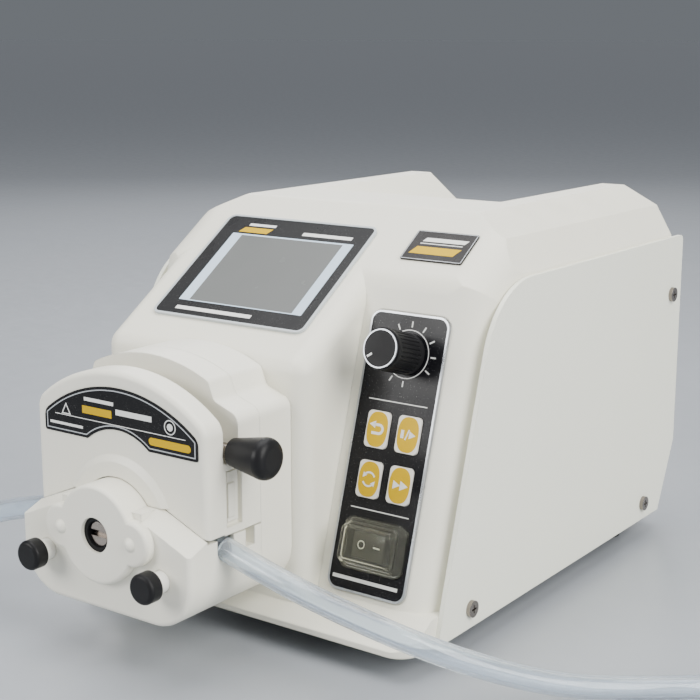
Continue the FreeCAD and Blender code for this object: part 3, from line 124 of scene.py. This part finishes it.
# ---------------------------------------------------------------- materials
class Nodes:
    """A short way to add shader nodes and join them."""

    def __init__(self, name):
        self.material = bpy.data.materials.new(name)
        self.material.use_nodes = True
        self.tree = self.material.node_tree
        self.shader = self.tree.nodes["Principled BSDF"]
        self.place = self.add("ShaderNodeTexCoord").outputs["Object"]

    def add(self, kind, **values):
        made = self.tree.nodes.new(kind)
        for key, value in values.items():
            made.inputs[key.replace("_", " ")].default_value = value
        return made

    def join(self, output, node, socket):
        self.tree.links.new(output, node.inputs[socket])

    def noise(self, scale, detail=2.0, stretch=None):
        made = self.add("ShaderNodeTexNoise", Scale=scale, Detail=detail)
        if stretch:
            mapping = self.add("ShaderNodeMapping")
            mapping.inputs["Scale"].default_value = stretch
            self.join(self.place, mapping, "Vector")
            self.join(mapping.outputs["Vector"], made, "Vector")
        else:
            self.join(self.place, made, "Vector")
        return made.outputs["Fac"]

    def spread(self, output, low, high, start=0.3, end=0.7):
        made = self.add("ShaderNodeMapRange", From_Min=start, From_Max=end, To_Min=low, To_Max=high)
        self.join(output, made, "Value")
        return made.outputs["Result"]

    def mix(self, factor, first, second):
        made = self.tree.nodes.new("ShaderNodeMix")
        made.data_type = "RGBA"
        for socket, value in zip(("A", "B"), (first, second)):
            spot = [i for i in made.inputs if i.name == socket and i.type == "RGBA"][0]
            if isinstance(value, tuple):
                spot.default_value = (*value, 1)
            else:
                self.tree.links.new(value, spot)
        self.tree.links.new(factor, made.inputs["Factor"])
        return [o for o in made.outputs if o.type == "RGBA"][0]

    def soft_normal(self, radius):
        made = self.add("ShaderNodeBevel", Radius=radius)
        made.samples = 4
        return made.outputs["Normal"]

    def bump(self, output, strength, distance=0.0002, normal=None):
        made = self.add("ShaderNodeBump", Strength=strength, Distance=distance)
        self.join(output, made, "Height")
        if normal is not None:
            self.join(normal, made, "Normal")
        return made.outputs["Normal"]


def shade(colour, share):
    return tuple(min(1.0, c * share) for c in colour)


def surface(name, colour, roughness, metallic=0.0, grain=1400.0, relief=0.06, mottle=0.04, scuff=0.07,
            edge=0.0, stretch=None, dust=0.0, settings=()):
    """Moulded, painted or turned stuff: mottled colour, uneven gloss, fine relief and soft edges."""
    nodes = Nodes(name)
    clouds = nodes.spread(nodes.noise(14, 3), 0, 1)
    tint = nodes.mix(clouds, shade(colour, 1 - mottle), shade(colour, 1 + mottle))
    if dust:
        specks = nodes.spread(nodes.noise(2600, 1), 0, dust, 0.70, 0.76)
        tint = nodes.mix(specks, tint, (0.55, 0.55, 0.53))
    nodes.join(tint, nodes.shader, "Base Color")
    nodes.join(nodes.spread(nodes.noise(70, 4, stretch), max(0.02, roughness - scuff), roughness + scuff),
               nodes.shader, "Roughness")
    normal = nodes.soft_normal(edge) if edge else None
    nodes.join(nodes.bump(nodes.noise(grain, 3, stretch), relief, normal=normal), nodes.shader, "Normal")
    nodes.shader.inputs["Metallic"].default_value = metallic
    for key, value in settings:
        nodes.shader.inputs[key].default_value = value
    return nodes.material


def silicone(name, colour, clearness, roughness, cloud, bending=1.41):
    """Translucent rubber: it lets light through, with faint milky streaks."""
    nodes = Nodes(name)
    streaks = nodes.spread(nodes.noise(60, 3), 0, 1)
    nodes.join(nodes.mix(streaks, shade(colour, 1 - cloud), colour), nodes.shader, "Base Color")
    nodes.join(nodes.spread(nodes.noise(180, 3), roughness * 0.7, roughness * 1.4), nodes.shader, "Roughness")
    nodes.join(nodes.bump(nodes.noise(500, 2), 0.03), nodes.shader, "Normal")
    for key, value in (("Transmission Weight", clearness), ("IOR", bending), ("Specular IOR Level", 0.5)):
        nodes.shader.inputs[key].default_value = value
    return nodes.material


IVORY = (0.84, 0.82, 0.71)
HEAD_IVORY = (0.85, 0.83, 0.73)
DULL = (("Specular IOR Level", 0.16),)


TURNED = {"metallic": 1.0, "stretch": (1, 40, 40), "grain": 500, "edge": 0.0002, "relief": 0.05, "mottle": 0.05}
INKED = {"relief": 0.02, "mottle": 0.03, "grain": 1500, "settings": (("Specular IOR Level", 0.12),)}

# colour, roughness and finish of each material, as surface() takes them
SURFACES = {
    "casing_plastic": (IVORY, 0.46, {"grain": 1700, "relief": 0.10, "mottle": 0.012, "edge": 0.0009}),
    # side panels: their own ivory paint, partly painted light: set lighter than the shell's plastic so the
    # casing's lit side reads brighter
    "casing_paint": ((0.86, 0.865, 0.76), 0.40, {"grain": 800, "relief": 0.07, "mottle": 0.01, "edge": 0.0006}),
    "head_plastic": (HEAD_IVORY, 0.42, {"grain": 1200, "relief": 0.05, "mottle": 0.012, "edge": 0.0008}),
    "white_plastic": ((0.77, 0.76, 0.71), 0.40, {"grain": 1200, "relief": 0.05, "mottle": 0.02, "edge": 0.0004}),
    "key_cap": ((0.80, 0.77, 0.70), 0.30, {"grain": 1200, "relief": 0.03, "mottle": 0.02, "edge": 0.0004}),
    "zinc_steel": ((0.55, 0.56, 0.57), 0.42, {"metallic": 0.95, "grain": 300, "relief": 0.05, "mottle": 0.12,
                                              "scuff": 0.12, "edge": 0.0003}),
    "bright_steel": ((0.27, 0.24, 0.215), 0.22, TURNED),
    "aluminium_case": ((0.60, 0.61, 0.62), 0.38, {**TURNED, "relief": 0.04}),
    "silver_trim": ((0.44, 0.46, 0.49), 0.30, {"metallic": 0.9, "grain": 900, "relief": 0.03, "mottle": 0.03,
                                               "scuff": 0.05, "edge": 0.0002}),
    "display_frame": ((0.52, 0.56, 0.58), 0.30, {"grain": 900, "relief": 0.02, "mottle": 0.03, "edge": 0.0003}),
    "black_rubber": ((0.012, 0.012, 0.013), 0.62, {"grain": 900, "relief": 0.12, "mottle": 0.2, "edge": 0.0004,
                                                   "settings": DULL}),
    "black_plastic": ((0.010, 0.010, 0.011), 0.40, {"grain": 1500, "relief": 0.09, "mottle": 0.15, "edge": 0.0004,
                                                    "settings": DULL}),
    "black_gloss": ((0.012, 0.012, 0.013), 0.16, {"grain": 700, "relief": 0.01, "mottle": 0.1, "scuff": 0.04,
                                                  "edge": 0.0004}),
    "motor_black": ((0.02, 0.02, 0.02), 0.45, {"grain": 500, "relief": 0.12, "mottle": 0.2, "edge": 0.0004}),
    "display_face": ((0.015, 0.015, 0.016), 0.30, {"grain": 1300, "relief": 0.03, "mottle": 0.06, "dust": 0.25,
                                                   "settings": DULL}),
    "badge_face": ((0.020, 0.018, 0.018), 0.28, {"grain": 1300, "relief": 0.03, "mottle": 0.06, "dust": 0.2,
                                                 "settings": DULL}),
    "strip_face": ((0.008, 0.008, 0.010), 0.24, {"grain": 1300, "relief": 0.02, "mottle": 0.1, "dust": 0.3,
                                                 "settings": DULL}),
    "label_face": ((0.006, 0.006, 0.007), 0.24, {"grain": 1300, "relief": 0.02, "mottle": 0.1, "dust": 0.15,
                                                 "settings": DULL}),
    "circuit_board": ((0.02, 0.13, 0.05), 0.35, {"grain": 260, "relief": 0.2, "mottle": 0.2}),
}
INKS = {
    "yellow_ink": ((0.62, 0.39, 0.0), 0.34, INKED),
    "white_ink": ((0.80, 0.80, 0.78), 0.36, INKED),
    "silver_ink": ((0.50, 0.52, 0.54), 0.32, {**INKED, "metallic": 0.4}),
    "pale_blue_ink": ((0.56, 0.68, 0.80), 0.28, INKED),
    "grey_glass": ((0.148, 0.154, 0.152), 0.22, {**INKED, "dust": 0.08}),
}


def make_surfaces(table):
    return {name: surface(name, colour, roughness, **finish)
            for name, (colour, roughness, finish) in table.items()}


def make_materials():
    materials = make_surfaces(SURFACES)
    materials["boot_silicone"] = silicone("boot_silicone", (0.92, 0.92, 0.80), 0.975, 0.10, 0.04, bending=1.22)
    materials["silicone_tube"] = silicone("silicone_tube", (0.86, 0.93, 1.0), 0.84, 0.10, 0.03)
    return materials


def paint_nodes(materials):
    """Each CAD node gets the material of its slot."""
    for part in frame["record"]["subparts"]:
        mesh = frame["nodes"][part["node"]].data
        mesh.materials.clear()
        mesh.materials.append(materials[part["material_slot"]])


# ---------------------------------------------------------------- hose
# Routes of the free ends, from the middle of the machine across, from the casing's front edge, and up.
RIGHT_ROUTE = [
    (0.0270, -0.0330, 0.0540), (0.0450, -0.0336, 0.0496), (0.0650, -0.0324, 0.0442), (0.0850, -0.0284, 0.0382),
    (0.1040, -0.0218, 0.0316), (0.1215, -0.0104, 0.0236), (0.1370, 0.0075, 0.0142), (0.1530, 0.0265, 0.0070),
    (0.1720, 0.0450, 0.0048), (0.1920, 0.0605, 0.0048), (0.2085, 0.0800, 0.0048), (0.2190, 0.1035, 0.0048),
    (0.2210, 0.1290, 0.0048), (0.2130, 0.1530, 0.0048),
]
LEFT_ROUTE = [
    (-0.0654, -0.0330, 0.0540), (-0.0830, -0.0340, 0.0502), (-0.1020, -0.0365, 0.0450), (-0.1210, -0.0415, 0.0376),
    (-0.1390, -0.0500, 0.0284), (-0.1550, -0.0625, 0.0186), (-0.1675, -0.0790, 0.0106), (-0.1750, -0.0985, 0.0060),
    (-0.1765, -0.1200, 0.0048), (-0.1712, -0.1406, 0.0048),
]
HOSE_RADIUS = 4.8 * MM
HOSE_BORE = 3.2 * MM


def spline_points(name, route):
    """Points of the smooth line that the route's points guide."""
    data = bpy.data.curves.new(name, "CURVE")
    data.dimensions = "3D"
    data.resolution_u = 14
    spline = data.splines.new("NURBS")
    spline.points.add(len(route) - 1)
    for point, (x, y, z) in zip(spline.points, route):
        point.co = (x, FRONT + y, z, 1)
    spline.order_u = 3
    spline.use_endpoint_u = True
    guide = link(bpy.data.objects.new(name, data))
    mesh = bpy.data.meshes.new_from_object(guide)
    points = [vertex.co.copy() for vertex in mesh.vertices]
    bpy.data.objects.remove(guide)
    bpy.data.meshes.remove(mesh)
    return points


def pipe(name, points, radius, bore):
    """A hollow pipe along the points, with flat ends."""
    sides = 40
    made = bmesh.new()
    rings = []
    way = (points[1] - points[0]).normalized()
    side = way.cross(UPRIGHT).normalized()
    for number, point in enumerate(points):
        ahead = points[min(number + 1, len(points) - 1)] - points[max(number - 1, 0)]
        turn = way.rotation_difference(ahead.normalized())
        side = turn @ side
        way = ahead.normalized()
        other = way.cross(side)
        rings.append([[made.verts.new(point + (side * math.cos(a) + other * math.sin(a)) * reach)
                       for a in (math.tau * n / sides for n in range(sides))] for reach in (radius, bore)])
    for n in range(sides):
        after = (n + 1) % sides
        for (outer, inner), (next_outer, next_inner) in zip(rings, rings[1:]):
            made.faces.new((outer[n], outer[after], next_outer[after], next_outer[n]))
            made.faces.new((inner[after], inner[n], next_inner[n], next_inner[after]))
        for outer, inner in (rings[0], rings[-1]):
            made.faces.new((outer[n], inner[n], inner[after], outer[after]))
    bmesh.ops.recalc_face_normals(made, faces=made.faces)
    return finished(name, made, 40)


def make_hose(materials):
    for name, node, route, length in (("hose_right", "tube_right", RIGHT_ROUTE, 0.308),
                                      ("hose_left", "tube_left", LEFT_ROUTE, 0.189)):
        points = spline_points(name, route)
        hose = pipe(name, points, HOSE_RADIUS, HOSE_BORE)
        hose.data.materials.append(materials["silicone_tube"])
        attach(hose, "casing")
        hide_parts(node)


# ---------------------------------------------------------------- mesh helpers
def finished(name, made, smooth_degrees=None):
    """An object from a bmesh, smooth where its faces meet at less than the given angle."""
    mesh = bpy.data.meshes.new(name)
    made.to_mesh(mesh)
    made.free()
    if smooth_degrees:
        for face in mesh.polygons:
            face.use_smooth = True
        mesh.set_sharp_from_angle(angle=math.radians(smooth_degrees))
    return link(bpy.data.objects.new(name, mesh))


def extent(node, way):
    """Lowest and highest place of a CAD node along a direction."""
    places = [vertex.co.dot(way) for vertex in frame["nodes"][node].data.vertices]
    return min(places), max(places)


class Face:
    """The outer face of a CAD node; x runs across from its middle and y up from its foot, in millimetres."""

    def __init__(self, node, up, from_middle=False):
        self.up = up
        self.out = ACROSS.cross(up)
        left, right = extent(node, ACROSS)
        foot, head = extent(node, up)
        start = (foot + head) / 2 if from_middle else foot
        self.wide = (right - left) / MM
        self.tall = (head - foot) / MM
        self.origin = ACROSS * (left + right) / 2 + up * start + self.out * extent(node, self.out)[1]
        self.across = ACROSS

    def at(self, x, y, height):
        return self.origin + (self.across * x + self.up * y + self.out * height) * MM


def rounded_rectangle(x, y, wide, tall, radius, steps=8):
    points = []
    for quarter, (sx, sy) in enumerate(((1, 1), (-1, 1), (-1, -1), (1, -1))):
        for n in range(steps + 1):
            angle = math.radians(90 * quarter + 90 * n / steps)
            points.append((x + sx * (wide / 2 - radius) + radius * math.cos(angle),
                           y + sy * (tall / 2 - radius) + radius * math.sin(angle)))
    return points


def arc(x, y, radius, start, end, steps=24):
    angles = [math.radians(start + (end - start) * n / steps) for n in range(steps + 1)]
    return [(x + radius * math.cos(a), y + radius * math.sin(a)) for a in angles]


def circle(x, y, radius, steps=64):
    return arc(x, y, radius, 0, 360 - 360 / steps, steps - 1)


def oval(x, y, half_wide, half_tall, power=2.5, steps=64):
    """A superellipse: fuller than an ellipse."""
    points = []
    for n in range(steps):
        angle = math.tau * n / steps
        c, s = math.cos(angle), math.sin(angle)
        points.append((x + half_wide * math.copysign(abs(c) ** (2 / power), c),
                       y + half_tall * math.copysign(abs(s) ** (2 / power), s)))
    return points


def inset(points, distance):
    """A closed anticlockwise outline moved inwards."""
    moved = []
    for n, (x, y) in enumerate(points):
        before, after = points[n - 1], points[(n + 1) % len(points)]
        first = Vector((x - before[0], y - before[1])).normalized()
        second = Vector((after[0] - x, after[1] - y)).normalized()
        normal = Vector((-first.y - second.y, first.x + second.x)).normalized()
        reach = distance / max(0.35, normal.dot(Vector((-second.y, second.x))))
        moved.append((x + normal.x * reach, y + normal.y * reach))
    return moved


def frame_band(points, width):
    """A closed line of the given width just inside an outline."""
    return points, inset(points, width)


def stroke(points, width):
    """An open line of the given width as a closed outline."""
    left, right = [], []
    for n, (x, y) in enumerate(points):
        before = points[max(n - 1, 0)]
        after = points[min(n + 1, len(points) - 1)]
        way = Vector((after[0] - before[0], after[1] - before[1])).normalized()
        left.append((x - way.y * width / 2, y + way.x * width / 2))
        right.append((x + way.y * width / 2, y - way.x * width / 2))
    return right + left[::-1]


def bar(x, y, wide, tall):
    return [(x - wide / 2, y - tall / 2), (x + wide / 2, y - tall / 2), (x + wide / 2, y + tall / 2),
            (x - wide / 2, y + tall / 2)]


def slanted(x, y, wide, tall, lean):
    """A parallelogram whose top is moved to the right."""
    return [(x - wide / 2 - lean / 2, y - tall / 2), (x + wide / 2 - lean / 2, y - tall / 2),
            (x + wide / 2 + lean / 2, y + tall / 2), (x - wide / 2 + lean / 2, y + tall / 2)]


def printed(name, face, shapes, low, high, material, body):
    """Thin raised printing on a face; a shape is an outline, or an outer and an inner outline."""
    made = bmesh.new()
    for shape in shapes:
        loops = shape if isinstance(shape, tuple) else (shape,)
        rings = [[[made.verts.new(face.at(x, y, height)) for x, y in loop] for height in (low, high)]
                 for loop in loops]
        for bottom, top in rings:
            for n in range(len(bottom)):
                after = (n + 1) % len(bottom)
                made.faces.new((bottom[n], bottom[after], top[after], top[n]))
        if len(rings) == 1:
            made.faces.new(rings[0][0][::-1])
            made.faces.new(rings[0][1])
        else:
            for level in (0, 1):
                outer, inner = rings[0][level], rings[1][level]
                for n in range(len(outer)):
                    after = (n + 1) % len(outer)
                    made.faces.new((outer[n], outer[after], inner[after], inner[n]))
    bmesh.ops.recalc_face_normals(made, faces=made.faces)
    bmesh.ops.triangulate(made, faces=[f for f in made.faces if len(f.verts) > 4])
    piece = finished(name, made)
    piece.data.materials.append(material)
    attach(piece, body)
    return piece


# ---------------------------------------------------------------- display and badge
INK = 0.06


def make_display(inks):
    face = Face("display_window", SLOPE_UP, from_middle=True)
    window = (69.0, 46.3)
    glass = (57.8, 44.7)
    printed("display_side_bars", face, [rounded_rectangle(1.4, -1.3, *window, 0.3)], 0.0, INK,
            inks["pale_blue_ink"], "casing")
    printed("display_glass", face, [rounded_rectangle(1.7, -1.5, *glass, 0.3)], INK, 2 * INK,
            inks["grey_glass"], "casing")
    top = face.tall / 2
    printed("display_mark", face, [slanted(-21.4, top - 8.6, 16.5, 3.4, 2.0)], 0.0, INK,
            inks["yellow_ink"], "casing")
    lines = [bar(-19.6, top - 4.9, 15.5, 1.6), bar(19.3, top - 8.0, 27.5, 2.1),
             bar(-9.7, 4.1 - top, 43.0, 2.1)]
    printed("display_lines", face, lines, 0.0, INK, inks["white_ink"], "casing")


def make_badge(inks):
    face = Face("badge_plate", SLOPE_UP, from_middle=True)
    edge = rounded_rectangle(0, 0, face.wide - 0.5, face.tall - 0.5, 0.6)
    printed("badge_edge", face, [frame_band(edge, 0.3)], 0.0, INK, inks["silver_ink"], "casing")
    printed("badge_band", face, [slanted(-0.6, -3.2, 22.0, 4.6, 2.2)], 0.0, INK, inks["yellow_ink"], "casing")
    printed("badge_lines", face, [slanted(1.4, 3.6, 21.0, 2.4, 1.2), slanted(0.4, 1.1, 21.0, 0.5, 0.3)],
            0.0, INK, inks["white_ink"], "casing")


# ---------------------------------------------------------------- control strip
def make_dial(inks):
    """Ring and tick marks round the knob, and the two rules that part the strip."""
    face = Face("control_fascia", LEAN_UP)
    knob = Vector(JOINTS["knob_turn"]["pos_m"]) - face.origin
    x, y = knob.dot(ACROSS) / MM, knob.dot(LEAN_UP) / MM
    shapes = [(circle(x, y, 10.35), circle(x, y, 9.95))]
    for n in range(11):
        angle = math.radians(-30 + 30 * n)
        tick = [(x + r * math.cos(angle), y + r * math.sin(angle)) for r in (11.3, 13.8)]
        shapes.append(stroke(tick, 0.62))
    for level in (80.3, 34.3):
        shapes.append(bar(0.7, level, 29.0, 0.42))
    shapes.append(bar(-0.8, 4.6, 32.5, 1.5))
    printed("dial_marks", face, shapes, 0.0, INK, inks["white_ink"], "casing")


def arrow_head(x, y, angle, size):
    """A solid triangle that points along the angle, in degrees."""
    turn = math.radians(angle)
    return [(x + size * math.cos(turn + a), y + size * math.sin(turn + a))
            for a in (0, math.radians(125), math.radians(235))]


def return_icon(x, y):
    hook = [(x - 1.6, y + 1.9), (x + 0.9, y + 1.9)] + arc(x + 0.9, y + 0.1, 1.8, 80, -80, 10)
    hook += [(x - 2.6, y - 1.7)]
    return [stroke(hook, 1.15), arrow_head(x - 2.2, y + 1.9, 180, 1.9)]


def start_icon(x, y):
    return [bar(x - 2.7, y, 1.5, 3.4), stroke([(x - 1.0, y - 2.2), (x + 0.4, y + 2.2)], 0.6),
            arrow_head(x + 1.8, y, 0, 2.0)]


def reverse_icon(x, y):
    shapes = []
    for start in (25, 205):
        shapes.append(stroke(arc(x, y, 2.9, start, start + 115, 14), 0.75))
        tip = math.radians(start + 122)
        shapes.append(arrow_head(x + 2.9 * math.cos(tip), y + 2.9 * math.sin(tip), start + 122 + 90, 1.35))
    return shapes


def prime_icon(x, y):
    return [arrow_head(x - 1.9, y, 0, 2.2), arrow_head(x + 1.7, y, 0, 2.5)]


def make_keys(inks):
    """A yellow oval and an icon on each key; they move with it."""
    icons = {"return": return_icon, "start": start_icon, "reverse": reverse_icon, "prime": prime_icon}
    for key, icon in icons.items():
        body = "button_" + key
        face = Face(body, LEAN_UP, from_middle=True)
        printed(body + "_oval", face, [oval(0, 0, face.wide / 2 - 0.45, face.tall / 2 - 0.4)], 0.0, INK,
                inks["yellow_ink"], body)
        printed(body + "_icon", face, icon(0, 0), INK, 2 * INK, inks["white_ink"], body)


def make_pointer(inks):
    """White line let into the end of the knob, set to the lowest speed."""
    lowest_speed = math.radians(215)
    face = Face("speed_knob", LEAN_UP, from_middle=True)
    turn = Quaternion(face.out, lowest_speed)
    face.across, face.up = turn @ face.across, turn @ face.up
    printed("knob_pointer", face, [bar(5.5, 0, 2.6, 0.9)], -0.3, 0.02, inks["white_ink"], "knob")


def make_rocker_marks(inks):
    """The ring and the line on the two halves of the rocker."""
    pivot = Vector(JOINTS["rocker_tilt"]["pos_m"])
    rest_tilt = math.radians(-7)
    turn = Quaternion(LEAN_UP, rest_tilt)
    face = Face("switch_rocker", LEAN_UP, from_middle=True)
    # the two halves dip 0.7 mm towards the pivot over 8.4 mm
    dish = math.atan2(0.7, 8.4)
    ring = (circle(0, 0, 1.8), circle(0, 0, 1.4))
    for name, side, shapes in (("off", -1, [ring]), ("on", 1, [bar(0, 0, 3.8, 0.55)])):
        half = Quaternion(LEAN_UP, rest_tilt - side * dish)
        across, out = turn @ ACROSS, turn @ ACROSS.cross(LEAN_UP)
        face.origin = pivot + (across * side * 4.2 + out * 2.05) * MM
        face.across, face.out = half @ ACROSS, half @ ACROSS.cross(LEAN_UP)
        printed("rocker_mark_" + name, face, shapes, -0.05, INK, inks["white_ink"], "rocker")


def make_boot(materials):
    """Clear moulded boot over the rocker: a rim, two steps and a flat window."""
    face = Face("switch_boot", LEAN_UP, from_middle=True)
    low, high = extent("switch_boot", face.out)
    height = (high - low) / MM
    wide, tall = face.wide, face.tall
    # inset from the rim and share of the height, from the foot to the window
    steps = [(0.0, 0.0), (0.0, 0.13), (0.35, 0.19), (1.2, 0.22), (1.6, 0.26), (1.75, 0.40), (2.1, 0.46),
             (2.7, 0.48), (2.95, 0.53), (3.1, 0.78), (3.5, 0.91), (4.3, 0.985), (5.2, 1.0)]
    wall = 1.0
    made = bmesh.new()

    def ring(step_in, level, extra):
        edge_in = step_in + extra
        radius = max(1.3, 4.0 - 0.55 * edge_in)
        outline = rounded_rectangle(0, 0, wide - 2 * edge_in, tall - 2 * edge_in, radius)
        return [made.verts.new(face.at(x, y, level - height)) for x, y in outline]

    rings = [ring(step, share * height, 0.0) for step, share in steps]
    rings += [ring(step, max(0.0, share * height - wall), wall) for step, share in reversed(steps)]
    for lower, upper in zip(rings, rings[1:]):
        if lower is rings[len(steps) - 1]:
            continue
        for n in range(len(lower)):
            after = (n + 1) % len(lower)
            made.faces.new((lower[n], lower[after], upper[after], upper[n]))
    first, last = rings[0], rings[-1]
    for n in range(len(first)):
        after = (n + 1) % len(first)
        made.faces.new((first[after], first[n], last[n], last[after]))
    made.faces.new(rings[len(steps) - 1])
    made.faces.new(rings[len(steps)][::-1])
    bmesh.ops.recalc_face_normals(made, faces=made.faces)
    boot = finished("clear_boot", made, 50)
    boot.data.materials.append(materials["boot_silicone"])
    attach(boot, "casing")
    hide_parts("switch_boot")


# ---------------------------------------------------------------- pump head label
def label_outline(face):
    """The arched label with the notch over the boss, anticlockwise from its left foot."""
    half = face.wide / 2
    side = 8.4
    arch = 67.0
    notch = 17.0
    notch_mid_across = -0.6
    notch_arch = 27.0
    arch_mid = side - math.sqrt(arch ** 2 - half ** 2)
    notch_mid = -math.sqrt(notch_arch ** 2 - notch ** 2)
    turn = math.degrees(math.asin(notch / notch_arch))
    sweep = math.degrees(math.asin(half / arch))
    dip = arc(notch_mid_across, notch_mid, notch_arch, 90 + turn, 90 - turn, 20)
    return [(-half, 0)] + dip + [(half, 0)] + arc(0, arch_mid, arch, 90 - sweep, 90 + sweep, 40)


def make_label(inks):
    """Printing on the head's label: plain bars, a triangle and a ring."""
    face = Face("block_label", UPRIGHT)
    outline = inset(label_outline(face), 1.2)
    printed("label_outline", face, [frame_band(outline, 0.45)], 0.0, INK, inks["silver_ink"],
            "pressure_block")
    sign = [(-32.2, 8.3), (-26.8, 8.3), (-29.5, 13.2)]
    lines = [bar(0.0, 7.9, 72.0, 0.3), frame_band(sign, 0.45),
             (circle(28.0, 11.7, 3.0), circle(28.0, 11.7, 2.6)), circle(28.0, 11.7, 1.5, 32),
             bar(-10.6, 16.4, 16.5, 1.5), bar(8.6, 13.4, 19.5, 2.3), bar(-29.6, 4.0, 19.0, 1.1)]
    printed("label_lines", face, lines, 0.0, INK, inks["white_ink"], "pressure_block")
    bands = [bar(-11.8, 11.9, 16.5, 3.2), rounded_rectangle(27.6, 4.5, 22.0, 3.1, 1.5)]
    printed("label_bands", face, bands, 0.0, INK, inks["yellow_ink"], "pressure_block")


# ---------------------------------------------------------------- everything
def build():
    make_camera()
    materials = make_materials()
    inks = make_surfaces(INKS)
    make_hose(materials)
    paint_nodes(materials)
    make_floor()
    make_studio()
    make_display(inks)
    make_badge(inks)
    make_dial(inks)
    make_keys(inks)
    make_pointer(inks)
    make_rocker_marks(inks)
    make_boot(materials)
    make_label(inks)


build()
